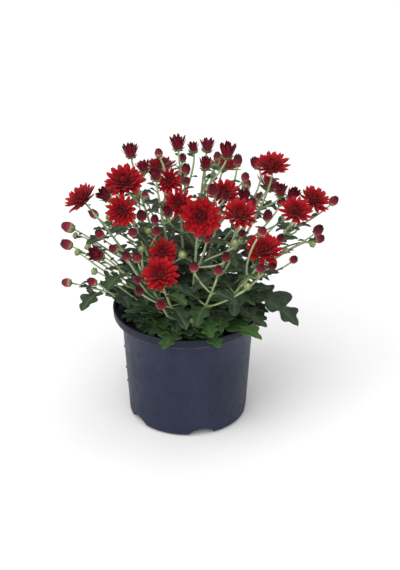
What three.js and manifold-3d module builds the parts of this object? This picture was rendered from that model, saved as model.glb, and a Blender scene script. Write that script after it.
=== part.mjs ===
// A garden chrysanthemum in a plastic nursery pot, in millimetres, +Z up.
// The origin is the middle of the pot's floor, on the surface that it stands on, and -Y is the front.
// Leafy stems stand in holes in the soil and branch into flower stalks. Each stalk ends in an open
// bloom, a half open flower or a bud. Blooms and half open flowers are solids of their own, set on
// the green cups of the stems. Buds and leaves are one skin with the stem that carries them.
import * as THREE from "three";
import { mergeVertices } from "three/addons/utils/BufferGeometryUtils.js";
import Module from "manifold-3d";

const wasm = await Module();
wasm.setup();

// Pot
const POT_HEIGHT = 160;
const RIM_RADIUS = 100;
const RIM_BAND = 13;
const RIM_LOW = POT_HEIGHT - RIM_BAND;
const RIM_WALL = 3;
const RIM_SHOULDER = 4;
const RIM_EDGE = 2;
const RIM_DRAFT = 1;
const WALL_TOP_RADIUS = 88;
const WALL_BASE_RADIUS = 79;
const WALL = 1.6;
const FOOT_CHAMFER = 4;
const POT_SIDES = 24;
const NOTCHES = 5;
const NOTCH_TURN = 14;
const NOTCH_WIDTH = 36;
const NOTCH_HEIGHT = 11;
const NOTCH_DEPTH = 20;
const DRAIN_RADIUS = 4;
const DRAIN_SIDES = 6;

// Soil
const SOIL_TOP = 138;
const SOIL_CROWN = 6;
const SOIL_LUMPS = 1.5;
const LUMP_TURNS = [0.23, 0.19];
const SOIL_SIDES = 16;
const SOIL_PLAY = 1.5;
const HOLE_DEPTH = 24;
const GAP = 0.3;
const CLEARANCE = 0.5;
const COLLAR_Z = SOIL_TOP + SOIL_CROWN + 3;
const FOOT_Z = SOIL_TOP - HOLE_DEPTH + 2;

// Stems
const ROOT_SHARE_X = 0.33;
const ROOT_SHARE_Y = 0.58;
const LOWEST_LEVEL = 0.07;
const HIGHEST_LEVEL = 0.66;
const LEADER_RADIUS = 2.2;
const STALK_RADIUS = 1.4;
const TIP_RADIUS = 1.1;
const SLOT_HEIGHT = 3.4;
const STALK_PAST = 6;
const LEAF_PAST = 3;
const ROOT_PAST = 1.2;
const LEAST_LEAN = 0.4;
const CUP_HEIGHT = 4;
const START_PULL = 0.22;
const END_PULL = 0.24;

// Leaves
const LEAF_LONGEST = 56;
const LEAF_SHORTEST = 30;
const LEAF_LOW_Z = 160;
const LEAF_HIGH_Z = 300;
const LEAVES_AT_LEVEL = [3, 3, 3, 1];
const LEAF_THICKNESS = 1.6;
const LEAF_FOLD = 0.3;
const LEAF_LIFT = 20;
const LEAF_SPREAD = 0.75;
const LEAF_SIZE_DRAW = [0.88, 1.12];
const LEAF_DROOP_DRAW = [0.3, 0.52];
const GOLDEN_TURN = 137.5;

// Large leaves that hang out over the rim: the stem and level that each grows from, the turn and
// lift that it leaves with, its length, and how far it droops as a share of its length.
const OUTER_LEAVES = {
  far_right: [{ level: 1, turn: 72, lift: -4, length: 92, droop: 0.34 }],
  right: [{ level: 1, turn: 80, lift: 16, length: 66, droop: 0.4 }],
  right_low: [
    { level: 0, turn: 48, lift: 38, length: 74, droop: 0.58 },
    { level: 1, turn: 28, lift: 10, length: 60, droop: 0.4 },
  ],
  front_right: [{ level: 0, turn: 8, lift: 38, length: 56, droop: 0.56 }],
  front_bloom: [{ level: 0, turn: -22, lift: 38, length: 54, droop: 0.56 }],
  left_low: [{ level: 1, turn: -88, lift: 4, length: 56, droop: 0.34 }],
};

// The part of the rim that no leaf hangs over: its turns, how far out it lies, and how high a leaf
// has to be to pass over it.
const OPEN_RIM = { turns: [-84, -24], radius: 80, height: 188 };

const COLOURS = { pot: 0x3a3f54, soil: 0x2a211b, stem: 0x3f5c3a, bloom: 0xa8131f, half: 0x74122a };

// Each stem's tips: kind, place (x, y, z), width, and where it faces: the turn from the front
// towards +X and the lift above level, in degrees. The first tip ends the leading stem, which
// rises from the soil.
const STEMS = {
  left_back: [
    ["bloom", -138, 9, 311, 46, -70, 55],
    ["half", -111, 36, 305, 18, -60, 50],
    ["bud", -156, 7, 271, 16, -90, 25],
    ["green", -148, 3, 261, 8, -80, 10],
  ],
  left: [
    ["half", -118, -57, 265, 20, -45, 35],
    ["bud", -158, -13, 256, 15, -90, 25],
    ["green", -144, -23, 250, 9, -80, 40],
    ["green", -130, -33, 263, 8, -60, 60],
    ["green", -121, -54, 238, 9, -50, 30],
  ],
  left_low: [
    ["bud", -159, -31, 209, 13, -90, 10],
    ["bud", -123, -56, 223, 12, -60, 35],
  ],
  back_left: [
    ["half", -75, 42, 367, 19, -70, 82],
    ["bloom", -82, 12, 335, 52, -10, 66],
    ["green", -50, -43, 291, 9, -20, 70],
  ],
  left_middle: [
    ["bloom", -84, -46, 322, 43, -15, 25],
    ["bud", -114, -32, 281, 13, -60, 60],
    ["bud", -96, -43, 265, 11, -40, 45],
    ["bud", -70, -62, 299, 13, -20, 60],
  ],
  front_left: [
    ["bud", -64, -86, 275, 14, -20, 70],
    ["bud", -78, -82, 275, 12, -40, 65],
    ["bud", -64, -94, 247, 12, -20, 45],
    ["green", -59, -61, 274, 9, 0, 60],
  ],
  front_bloom: [
    ["bloom", -34, -115, 265, 48, 0, 52],
    ["bud", -61, -110, 239, 12, -10, 45],
    ["bud", -33, -118, 224, 16, -5, 40],
  ],
  middle_left: [
    ["bud", -59, -34, 309, 15, -20, 65],
    ["bloom", -31, -65, 272, 38, 0, 40],
    ["bud", -40, -56, 297, 13, 0, 60],
    ["bud", -42, -38, 305, 11, 0, 75],
    ["green", -6, -94, 283, 10, 0, 40],
  ],
  top_left: [
    ["half", -41, -4, 354, 16, -30, 80],
    ["bloom", -24, 30, 328, 36, 0, 35],
    ["bud", -38, 61, 354, 12, -90, 80],
    ["bud", -29, 66, 330, 11, 180, 75],
  ],
  top: [
    ["half", -13, 49, 375, 20, -60, 84],
    ["bud", -6, 58, 347, 9, 180, 80],
    ["bud", -2, 24, 348, 13, 30, 80],
    ["bud", -1, 20, 333, 11, 0, 60],
    ["half", 7, 68, 360, 14, -120, 80],
  ],
  middle: [
    ["bloom", -11, -10, 315, 40, -5, 40],
    ["half", -25, -47, 322, 14, -10, 70],
  ],
  middle_front: [
    ["bloom", 18, -87, 334, 54, 5, 22],
    ["bud", 26, -80, 298, 11, 10, 50],
    ["bud", 50, -100, 283, 12, 0, 65],
    ["green", 61, -78, 292, 11, 0, 60],
  ],
  top_right: [
    ["half", 27, 73, 361, 18, 120, 80],
    ["half", 24, 34, 352, 16, 20, 80],
    ["green", 35, 59, 336, 10, 180, 80],
    ["green", 35, 50, 327, 9, 90, 60],
    ["half", 53, 49, 364, 22, 60, 84],
    ["bud", 40, 58, 350, 11, -90, 80],
  ],
  back_right: [
    ["bloom", 47, 16, 316, 44, 10, 65],
    ["bud", 66, 34, 355, 13, 60, 85],
    ["bud", 34, -15, 335, 15, -20, 70],
    ["bud", 50, -20, 331, 13, 10, 60],
    ["bud", 76, 22, 338, 12, 40, 70],
    ["bud", 91, 62, 338, 15, -100, 60],
  ],
  right_middle: [
    ["bloom", 68, -59, 323, 46, 10, 64],
    ["half", 74, 0, 321, 18, 0, 70],
    ["bud", 83, -29, 323, 13, 60, 70],
    ["bud", 71, -50, 291, 10, 10, 50],
  ],
  right_back: [
    ["bloom", 111, 32, 348, 47, -15, 76],
    ["bud", 104, -42, 313, 13, 20, 70],
    ["bud", 123, 14, 305, 12, 60, 70],
    ["half", 122, 2, 328, 16, 30, 75],
  ],
  right: [
    ["bloom", 141, -29, 312, 44, 10, 60],
    ["bud", 121, -50, 284, 12, 20, 55],
    ["green", 128, -53, 268, 8, 40, 40],
    ["bud", 138, -63, 260, 11, 40, 50],
  ],
  far_right: [
    ["bloom", 166, 11, 308, 43, 35, 56],
    ["half", 140, 36, 306, 18, 60, 60],
    ["bud", 192, 18, 304, 13, 60, 55],
    ["bud", 171, -13, 277, 14, 40, 50],
    ["bud", 174, 0, 258, 13, 80, 20],
    ["green", 164, -23, 262, 9, 50, 20],
  ],
  right_low: [
    ["bloom", 99, -80, 282, 50, 5, 68],
    ["bud", 95, -112, 326, 13, 30, 60],
    ["bud", 94, -118, 276, 14, 10, 50],
    ["bud", 110, -75, 257, 11, 40, 40],
  ],
  front_right: [
    ["bud", 40, -110, 269, 13, 10, 65],
    ["green", 77, -112, 247, 10, 30, 55],
    ["bud", 9, -112, 274, 13, 0, 65],
    ["green", 7, -92, 186, 9, 0, 40],
  ],
  rear_left: [
    ["bloom", -98, 92, 285, 46, -130, 45],
    ["half", -60, 98, 318, 18, -140, 70],
    ["bud", -70, 122, 262, 13, -150, 50],
    ["bud", -126, 72, 258, 12, -110, 40],
    ["green", -108, 104, 238, 9, -130, 30],
  ],
  rear_middle: [
    ["bloom", -38, 126, 300, 48, -165, 45],
    ["bud", -10, 138, 278, 13, 180, 55],
    ["bud", -58, 140, 250, 12, -150, 45],
    ["bloom", 12, 130, 232, 44, 175, 35],
  ],
  rear_right_middle: [
    ["bloom", 48, 120, 306, 47, 160, 48],
    ["bud", 80, 126, 276, 14, 150, 55],
    ["green", 50, 146, 246, 10, 160, 35],
  ],
  rear_right: [
    ["bloom", 110, 90, 290, 45, 125, 45],
    ["bud", 142, 66, 262, 12, 100, 40],
    ["bud", 94, 120, 258, 13, 140, 45],
    ["green", 128, 94, 240, 9, 120, 35],
  ],
};

const UP = new THREE.Vector3(0, 0, 1);
const at = (x, y, z) => new THREE.Vector3(x, y, z);
const radians = (degrees) => (degrees * Math.PI) / 180;
const mix = (a, b, share) => a + (b - a) * share;
const clamp = (value, low, high) => Math.min(Math.max(value, low), high);

// The same number between 0 and 1 each time for one seed.
function chance(seed) {
  const wave = Math.sin(seed * 127.1) * 43758.5453;
  return wave - Math.floor(wave);
}

// A direction from its turn away from the front, towards +X, and its lift above level.
function facing(turn, lift) {
  const [a, b] = [radians(turn), radians(lift)];
  return at(Math.sin(a) * Math.cos(b), -Math.cos(a) * Math.cos(b), Math.sin(b));
}

const turnOf = (direction) => (Math.atan2(direction.x, -direction.y) * 180) / Math.PI;

// A three.js geometry as a manifold-3d solid, and a solid as a geometry.
function solid(geometry) {
  const bare = geometry.clone();
  bare.deleteAttribute("normal");
  bare.deleteAttribute("uv");
  const merged = mergeVertices(bare, 1e-4);
  return new wasm.Manifold(
    new wasm.Mesh({
      numProp: 3,
      vertProperties: merged.attributes.position.array,
      triVerts: new Uint32Array(merged.index.array),
    }),
  );
}

function geometryOf(manifold) {
  const mesh = manifold.getMesh();
  return new THREE.BufferGeometry()
    .setAttribute("position", new THREE.BufferAttribute(mesh.vertProperties, 3))
    .setIndex(new THREE.BufferAttribute(mesh.triVerts, 1));
}

const middleOf = (places) =>
  places.reduce((sum, p) => sum.add(p), at(0, 0, 0)).divideScalar(places.length);

// A closed skin that grows in rings of points. A ring runs anticlockwise, as it is seen from the
// end that it grows towards.
class Skin {
  points = [];
  triangles = [];

  ring(places) {
    return places.map((place) => this.points.push(place) - 1);
  }

  face(corners) {
    for (let i = 2; i < corners.length; i++)
      this.triangles.push(corners[0], corners[i - 1], corners[i]);
  }

  // Triangles from one ring to the next, which may have fewer or more points. One point is a tip.
  // Of the ways to pair the two rings' points, the one that twists the skin the least is taken.
  join(low, high) {
    const ways = high.map((_, turn) => this.bridge(low, high, turn));
    ways.sort((a, b) => a.twist - b.twist);
    this.triangles.push(...ways[0].triangles);
    return high;
  }

  // Places as seen from the middle of their ring.
  offsets(ring) {
    const middle = middleOf(ring.map((i) => this.points[i]));
    return ring.map((i) => this.points[i].clone().sub(middle));
  }

  bridge(low, high, turn) {
    const [n, m] = [low.length, high.length];
    const [from, to] = [this.offsets(low), this.offsets(high)];
    const last = m > 1 ? m : 0;
    const triangles = [];
    let twist = 0;
    let [i, j] = [0, 0];
    while (i < n || j < last) {
      const [a, b] = [i % n, (j + turn) % m];
      const nextIsLow = j === last || (i < n && (i + 1) / n <= (j + 1) / m);
      if (nextIsLow) i += 1;
      else j += 1;
      triangles.push(low[a], nextIsLow ? low[i % n] : high[(j + turn) % m], high[b]);
      twist += from[a].distanceTo(to[b]);
    }
    return { triangles, twist };
  }

  // Rings on from a root, closed at the last one.
  grow(root, rings) {
    const last = rings.reduce((low, places) => this.join(low, this.ring(places)), root);
    if (last.length > 2) this.face(last);
  }

  geometry() {
    return new THREE.BufferGeometry().setFromPoints(this.points).setIndex(this.triangles);
  }
}

// A solid of its own through rings of points.
function closed(rings) {
  const skin = new Skin();
  const root = skin.ring(rings[0]);
  skin.face([...root].reverse());
  skin.grow(root, rings.slice(1));
  return solid(skin.geometry());
}

// A regular ring of points round a centre, square to a direction.
function ring(centre, direction, radius, sides) {
  const tilt = new THREE.Quaternion().setFromUnitVectors(UP, direction);
  return Array.from({ length: sides }, (_, j) => {
    const angle = (j * 2 * Math.PI) / sides;
    return at(Math.cos(angle) * radius, Math.sin(angle) * radius, 0)
      .applyQuaternion(tilt)
      .add(centre);
  });
}

// Pot: a turned shell with a broad rim band and arched drainage notches round its foot.
const turned = (profile, sides) =>
  new THREE.LatheGeometry(profile.map(([r, z]) => new THREE.Vector2(r, z)), sides).rotateX(
    Math.PI / 2,
  );

function notch(index, grow) {
  const arch = new THREE.Shape();
  arch.moveTo(-NOTCH_WIDTH / 2 - grow, -NOTCH_HEIGHT);
  arch.lineTo(NOTCH_WIDTH / 2 + grow, -NOTCH_HEIGHT);
  arch.absellipse(0, 0, NOTCH_WIDTH / 2 + grow, NOTCH_HEIGHT + grow, 0, Math.PI, false, 0);
  const depth = 2 * NOTCH_DEPTH + grow;
  const cut = new THREE.ExtrudeGeometry(arch, { depth, bevelEnabled: false, curveSegments: 3 });
  const turn = radians(NOTCH_TURN + (index * 360) / NOTCHES);
  cut.rotateX(Math.PI / 2).translate(0, NOTCH_DEPTH + grow - WALL_BASE_RADIUS, 0).rotateZ(turn);
  return solid(cut);
}

function drain(index) {
  const hole = new THREE.CylinderGeometry(DRAIN_RADIUS, DRAIN_RADIUS, 4 * NOTCH_HEIGHT, DRAIN_SIDES);
  const turn = radians(NOTCH_TURN + (index * 360) / NOTCHES);
  hole.rotateX(Math.PI / 2).translate(0, NOTCH_DEPTH / 2 - WALL_BASE_RADIUS, 0).rotateZ(turn);
  return solid(hole);
}

function pot() {
  const rimInside = RIM_RADIUS - RIM_WALL;
  const outside = [
    [0, 0],
    [WALL_BASE_RADIUS - FOOT_CHAMFER, 0],
    [WALL_BASE_RADIUS, FOOT_CHAMFER],
    [WALL_TOP_RADIUS, RIM_LOW - RIM_SHOULDER],
    [RIM_RADIUS - RIM_DRAFT, RIM_LOW],
    [RIM_RADIUS, POT_HEIGHT - RIM_EDGE],
    [RIM_RADIUS - RIM_WALL / 2, POT_HEIGHT],
    [rimInside, POT_HEIGHT - RIM_EDGE],
    [0, POT_HEIGHT - RIM_EDGE],
  ];
  const inside = [
    [0, WALL],
    [WALL_BASE_RADIUS - FOOT_CHAMFER - WALL, WALL],
    [WALL_BASE_RADIUS - WALL, FOOT_CHAMFER + WALL],
    [WALL_TOP_RADIUS - WALL, RIM_LOW - RIM_SHOULDER / 2],
    [rimInside - RIM_DRAFT, RIM_LOW + RIM_SHOULDER / 2],
    [rimInside, POT_HEIGHT - RIM_EDGE],
    [rimInside, POT_HEIGHT + RIM_EDGE],
    [0, POT_HEIGHT + RIM_EDGE],
  ];
  let cavity = solid(turned(inside, POT_SIDES));
  let shell = solid(turned(outside, POT_SIDES));
  for (let i = 0; i < NOTCHES; i++) {
    cavity = cavity.subtract(notch(i, WALL));
    shell = shell.subtract(notch(i, 0));
  }
  shell = shell.subtract(cavity);
  for (let i = 0; i < NOTCHES; i++) shell = shell.subtract(drain(i));
  return shell;
}

// Soil: it fills the pot above the notches, rounded up in the middle, with a hole for each stem.
function soilRadius(z) {
  const share = (z - FOOT_CHAMFER) / (RIM_LOW - RIM_SHOULDER - FOOT_CHAMFER);
  return mix(WALL_BASE_RADIUS, WALL_TOP_RADIUS, share) - WALL - SOIL_PLAY;
}

function soil(roots) {
  const low = NOTCH_HEIGHT + WALL + GAP;
  const core = WALL_BASE_RADIUS - NOTCH_DEPTH - WALL - SOIL_PLAY;
  const shares = [0.93, 0.5];
  const profile = [
    [0, WALL + GAP],
    [core, WALL + GAP],
    [core, low],
    [soilRadius(low), low + GAP],
    [soilRadius(SOIL_TOP), SOIL_TOP],
    ...shares.map((s) => [soilRadius(SOIL_TOP) * s, SOIL_TOP + SOIL_CROWN * (1 - s * s)]),
    [0, SOIL_TOP + SOIL_CROWN],
  ];
  const ground = turned(profile, SOIL_SIDES);
  const places = ground.attributes.position;
  for (let i = 0; i < places.count; i++) {
    const [x, y, z] = [places.getX(i), places.getY(i), places.getZ(i)];
    const wave = Math.sin(x * LUMP_TURNS[0] + 1) * Math.sin(y * LUMP_TURNS[1]);
    if (z > SOIL_TOP) places.setZ(i, z + SOIL_LUMPS * wave);
  }
  let body = solid(ground);
  for (const root of roots) {
    const hole = [SOIL_TOP - HOLE_DEPTH, SOIL_TOP + 2 * SOIL_CROWN].map((z) =>
      ring(root.clone().setZ(z), UP, LEADER_RADIUS + 1.5 * GAP, 4),
    );
    body = body.subtract(closed(hole));
  }
  return body;
}

// Stems: a curve leaves its parent along one direction and reaches its tip along another.
// The bow pushes its middle sideways.
function stalkCurve(start, startDirection, end, endDirection, bow) {
  const reach = start.distanceTo(end);
  const aside = end.clone().sub(start).cross(UP).normalize().multiplyScalar(bow);
  return new THREE.CubicBezierCurve3(
    start,
    start.clone().addScaledVector(startDirection, reach * START_PULL).add(aside),
    end.clone().addScaledVector(endDirection, -reach * END_PULL).add(aside),
    end,
  );
}

const curveRings = (curve, shares, from, to, sides) =>
  shares.map((share) =>
    ring(curve.getPoint(share), curve.getTangent(share), mix(from, to, share), sides),
  );

// A shaft has pairs of rings, and the faces between the two rings of a pair are slots, where
// leaves and side stalks can start. It returns its last ring and its slots.
function growShaft(skin, root, curve, from, to, levels) {
  const half = SLOT_HEIGHT / 2 / curve.getLength();
  const slots = [];
  let last = root;
  for (const share of levels) {
    const [low, high] = curveRings(curve, [share - half, share + half], from, to, 4).map((places) =>
      skin.ring(places),
    );
    skin.join(last, low);
    for (let j = 0; j < 4; j++) {
      const k = (j + 1) % 4;
      const quad = [low[j], low[k], high[k], high[j]];
      const corners = quad.map((i) => skin.points[i]);
      const middle = middleOf(corners);
      const out = middle.clone().sub(curve.getPoint(share)).normalize();
      slots.push({ quad, corners, middle, out, along: curve.getTangent(share), share });
    }
    last = high;
  }
  return { last, slots };
}

// Cups and buds in their own frame, as radii and heights above the stalk's end.
const FORMS = {
  bloom: (r) => [[r * 0.24, CUP_HEIGHT]],
  half: (r) => [[r * 0.68, CUP_HEIGHT]],
  bud: (r) => [[r * 0.95, r * 0.6], [r * 0.85, r * 1.5], [0, r * 2.2]],
  green: (r) => [[r, r * 0.8], [0, r * 1.8]],
};

const formRings = ({ kind, width, direction }, end, grow = 0) =>
  FORMS[kind](width / 2).map(([r, z]) => {
    const centre = end.clone().addScaledVector(direction, z ? z + (r ? 0 : grow) : 0);
    return r ? ring(centre, direction, r + grow, 5) : [centre];
  });

// How far below its middle a tip meets its stalk.
const SEATS = {
  bloom: () => CUP_HEIGHT + 3,
  half: (width) => width * 0.45 + CUP_HEIGHT,
  bud: (width) => width * 0.5,
  green: (width) => width * 0.4,
};

// Leaves: a lobed blade on a stalk, thickest along its midrib and thin at its edge. The places
// are shares of its length: along the midrib, and along and out from it.
const BROAD_LEAF = {
  midrib: [0.22, 0.44, 0.68],
  edge: [[0.22, 0.022], [0.33, 0.21], [0.44, 0.12], [0.6, 0.3], [0.68, 0.16], [0.84, 0.18]],
  panels: [["m0", "m1", "e2", "e1", "e0"], ["m1", "m2", "e4", "e3", "e2"], ["m2", "tip", "e5", "e4"]],
};
const SMALL_LEAF = {
  midrib: [0.22, 0.52],
  edge: [[0.22, 0.025], [0.4, 0.25], [0.52, 0.13], [0.74, 0.24]],
  panels: [["m0", "m1", "e2", "e1", "e0"], ["m1", "tip", "e3", "e2"]],
};
const BROAD_FROM = 49;

// A leaf's own frame: along its midrib, out to its left side, and up from its face.
function leafPlace({ base, turn, lift, length, droop }) {
  const along = facing(turn, lift);
  const side = new THREE.Vector3().crossVectors(UP, facing(turn, 0));
  const normal = new THREE.Vector3().crossVectors(along, side);
  return (x, y, z) =>
    base
      .clone()
      .addScaledVector(along, x * length)
      .addScaledVector(side, y * length)
      .addScaledVector(normal, z + length * (LEAF_FOLD * Math.abs(y) - droop * x * x));
}

function growLeaf(skin, root, leaf, grow = 0) {
  const place = leafPlace(leaf);
  const { midrib, edge, panels } = leaf.length > BROAD_FROM ? BROAD_LEAF : SMALL_LEAF;
  const [thick, out] = [LEAF_THICKNESS / 2 + grow, grow / leaf.length];
  const sides = {
    top: skin.ring(midrib.map((x) => place(x, 0, thick))),
    under: skin.ring(midrib.map((x) => place(x, 0, -thick))),
    left: skin.ring(edge.map(([x, y]) => place(x, y + out, 0))),
    right: skin.ring(edge.map(([x, y]) => place(x, -y - out, 0))),
  };
  const [tip] = skin.ring([place(1 + out, 0, 0)]);
  skin.join(root, [sides.left[0], sides.top[0], sides.right[0], sides.under[0]]);
  for (const face of ["top", "under"])
    for (const edgeSide of ["left", "right"])
      for (const panel of panels) {
        const corners = panel.map((name) => {
          if (name === "tip") return tip;
          return sides[name[0] === "m" ? face : edgeSide][Number(name[1])];
        });
        const flip = (face === "top") !== (edgeSide === "left");
        for (let i = 2; i < corners.length; i++) {
          const [a, b, c] = [corners[0], corners[i - 1], corners[i]];
          skin.face(flip ? [a, c, b] : [a, b, c]);
        }
      }
}

// A leaf as a solid of its own, from a ring of places at its root.
function closedLeaf(leaf, rootPlaces, grow) {
  const skin = new Skin();
  const root = skin.ring(rootPlaces);
  skin.face([...root].reverse());
  growLeaf(skin, root, leaf, grow);
  return solid(skin.geometry());
}

function leafLength(z) {
  const share = (z - LEAF_LOW_Z) / (LEAF_HIGH_Z - LEAF_LOW_Z);
  return mix(LEAF_LONGEST, LEAF_SHORTEST, clamp(share, 0, 1));
}

// Flowers, in their own frame: the base at the origin, facing +Z. Each layer of petals grows
// from the faces of a band of the core, and the next band is turned by half a petal.
const BLOOM_LAYERS = [
  { count: 10, radius: 0.26, low: 0, high: 2.4, lift: 7, length: 0.8, width: 0.34, curl: 0.05 },
  { count: 8, radius: 0.22, low: 4, high: 6.4, lift: 38, length: 0.62, width: 0.3, curl: 0.12 },
];
const HALF_LAYERS = [
  { count: 6, radius: 0.62, low: 0, high: 2.4, lift: 66, length: 1.7, width: 0.62, curl: 0 },
];

const PETAL_DEPTH = 1.3;
const PETAL_WIDEST = 0.62;
const BLOOM_DOME = 10;
const HALF_DOME = 0.7;

function petalRings(middle, turn, layer, r, seed) {
  const lift = radians(layer.lift + 6 * (chance(seed) - 0.5));
  const length = layer.length * r * (1 - 0.14 * chance(seed + 40));
  const out = at(Math.cos(turn), Math.sin(turn), 0);
  const side = at(-Math.sin(turn), Math.cos(turn), 0);
  const under = out.clone().multiplyScalar(Math.sin(lift)).setZ(-Math.cos(lift));
  const along = (s) =>
    middle
      .clone()
      .addScaledVector(out, s * length * Math.cos(lift))
      .add(at(0, 0, length * (s * Math.sin(lift) + s * s * layer.curl)));
  const widest = along(PETAL_WIDEST);
  const section = [
    widest.clone().addScaledVector(side, (layer.width * r) / 2),
    widest.clone().addScaledVector(side, (-layer.width * r) / 2),
    widest.clone().addScaledVector(under, PETAL_DEPTH),
  ];
  return [section, [along(1)]];
}

function flower(layers, width, domeHeight, seed) {
  const r = width / 2;
  const skin = new Skin();
  let last = null;
  layers.forEach((layer, index) => {
    const step = (2 * Math.PI) / layer.count;
    const bandRing = (z, radius) =>
      Array.from({ length: layer.count }, (_, j) => {
        const angle = (j + index / 2) * step;
        return at(Math.cos(angle) * radius, Math.sin(angle) * radius, z);
      });
    const low = skin.ring(bandRing(layer.low, layer.radius * r * 0.92));
    const high = skin.ring(bandRing(layer.high, layer.radius * r));
    if (last) skin.join(last, low);
    else skin.face([...low].reverse());
    for (let j = 0; j < layer.count; j++) {
      const k = (j + 1) % layer.count;
      const quad = [low[j], low[k], high[k], high[j]];
      const middle = middleOf(quad.map((i) => skin.points[i]));
      const petal = petalRings(middle, (j + 0.5 + index / 2) * step, layer, r, seed * 50 + j);
      skin.grow(quad, petal);
    }
    last = high;
  });
  skin.grow(last, [[at(0, 0, domeHeight)]]);
  return skin.geometry();
}

function flowerAt({ kind, width, middle, direction }, seed) {
  const built =
    kind === "bloom"
      ? flower(BLOOM_LAYERS, width, BLOOM_DOME, seed)
      : flower(HALF_LAYERS, width, width * HALF_DOME, seed);
  const base = middle.clone().addScaledVector(direction, GAP - SEATS[kind](width) + CUP_HEIGHT);
  return built
    .applyQuaternion(new THREE.Quaternion().setFromUnitVectors(UP, direction))
    .translate(base.x, base.y, base.z);
}

// What is placed so far, to keep each next piece clear of it.
const placed = [];
const boxesMeet = (a, b) => [0, 1, 2].every((i) => a.min[i] <= b.max[i] && b.min[i] <= a.max[i]);

function place(owner, body) {
  placed.push({ owner, body, box: body.boundingBox() });
}

function isClear(guard, except = []) {
  const box = guard.boundingBox();
  return placed
    .filter((other) => !except.includes(other.owner) && boxesMeet(box, other.box))
    .every((other) => guard.intersect(other.body).isEmpty());
}

const plant = new THREE.Group();

function addMesh(name, kind, geometry) {
  const material = new THREE.MeshStandardMaterial({
    color: COLOURS[kind],
    roughness: kind === "soil" ? 0.95 : 0.6,
    metalness: 0,
    flatShading: true,
  });
  const mesh = new THREE.Mesh(geometry, material);
  mesh.name = name;
  plant.add(mesh);
}

const readTip = ([kind, x, y, z, width, turn, lift]) => {
  const direction = facing(turn, lift);
  const middle = at(x, y, z);
  const end = middle.clone().addScaledVector(direction, -SEATS[kind](width));
  return { kind, width, turn, middle, direction, end };
};

const stems = Object.entries(STEMS).map(([name, rows]) => {
  const tips = rows.map(readTip);
  const root = at(tips[0].middle.x * ROOT_SHARE_X, tips[0].middle.y * ROOT_SHARE_Y, 0);
  return { name, tips, root, skin: new Skin() };
});

const potSolid = pot();
const soilSolid = soil(stems.map((stem) => stem.root));
addMesh("pot", "pot", geometryOf(potSolid));
addMesh("soil", "soil", geometryOf(soilSolid));
place("pot", potSolid);
place("soil", soilSolid);

stems.forEach(({ name, tips }, index) =>
  tips.forEach((tip, i) => {
    if (tip.kind !== "bloom" && tip.kind !== "half") return;
    const geometry = flowerAt(tip, index * 7 + i);
    const body = solid(geometry);
    if (!isClear(body)) console.warn(`${tip.kind} ${name} ${i} meets another`);
    tip.owner = `${tip.kind}_${name}_${i + 1}`;
    place(tip.owner, body);
    addMesh(tip.owner, tip.kind, geometry);
  }),
);

// A ring moved a little way towards a point.
const moved = (places, from, towards, distance) => {
  const shift = towards.clone().sub(from).setLength(distance);
  return places.map((p) => p.clone().add(shift));
};

// Whether a stalk, a little thicker than it is, and its cup or bud are clear of all other pieces,
// and past its root of its own stem's.
function stalkIsClear(owner, tip, root, curve, shares, radius) {
  const rings = curveRings(curve, shares, radius + CLEARANCE, TIP_RADIUS + CLEARANCE, 6);
  const [start, first] = [curve.getPoint(0), curve.getPoint(shares[0])];
  const guard = (past) => closed([moved(root, start, first, past), ...rings]);
  const leader = `${owner} leader`;
  if (!isClear(guard(0), [owner, leader])) return false;
  if (!isClear(guard(ROOT_PAST), [leader])) return false;
  if (!isClear(guard(STALK_PAST))) return false;
  const end = curveRings(curve, [0.99], TIP_RADIUS, TIP_RADIUS, 4);
  return isClear(closed([...end, ...formRings(tip, tip.end, CLEARANCE)]), [tip.owner]);
}

// The ways to bow a stalk until it is clear, in millimetres.
const BOWS = [0, 7, -7, 14, -14, 21, -21, 28, -28];

const levels = LEAVES_AT_LEVEL.map((_, i) =>
  mix(LOWEST_LEVEL, HIGHEST_LEVEL, i / (LEAVES_AT_LEVEL.length - 1)),
);

for (const stem of stems) {
  const [leader] = stem.tips;
  const collar = stem.root.clone().setZ(COLLAR_Z);
  const foot = stem.root.clone().setZ(FOOT_Z);
  const footRing = ring(foot, UP, LEADER_RADIUS, 4);
  const collarRing = ring(collar, UP, LEADER_RADIUS, 4);
  const tries = BOWS.map((bow) => stalkCurve(collar, UP, leader.end, leader.direction, bow));
  const curve = tries.find((way) =>
    stalkIsClear(stem.name, leader, collarRing, way, [...levels, 1], LEADER_RADIUS),
  );
  if (!curve) console.warn(`no clear way for the leader of ${stem.name}`);
  stem.curve = curve ?? tries[0];
  const shaft = curveRings(stem.curve, [...levels, 1], LEADER_RADIUS, TIP_RADIUS, 4);
  const rings = [footRing, collarRing, ...shaft, ...formRings(leader, leader.end)];
  place(`${stem.name} leader`, closed(rings));
  const root = stem.skin.ring(footRing);
  stem.skin.face([...root].reverse());
  const start = stem.skin.join(root, stem.skin.ring(collarRing));
  const grown = growShaft(stem.skin, start, stem.curve, LEADER_RADIUS, TIP_RADIUS, levels);
  stem.slots = grown.slots;
  stem.skin.grow(grown.last, [
    ...curveRings(stem.curve, [1], LEADER_RADIUS, TIP_RADIUS, 4),
    ...formRings(leader, leader.end),
  ]);
}

// Whether a piece that goes from a slot to a point leans well away from the stem.
const leans = ({ middle, out }, point) =>
  point.clone().sub(middle).normalize().dot(out) > LEAST_LEAN;

// The free slots of a stem, with those first that lie near a height and face a direction.
const FACING_COST = 25;

function slotsFor(slots, height, direction) {
  const cost = ({ middle, out }) =>
    Math.abs(middle.z - height) + FACING_COST * (1 - out.dot(direction));
  return slots.filter((slot) => !slot.used).sort((a, b) => cost(a) - cost(b));
}

const STALK_SHARES = [0.25, 0.6, 1];
const STALK_DROP = 26;
const STALK_SLOPE = 0.3;
const STALK_SLOTS = 10;

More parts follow.
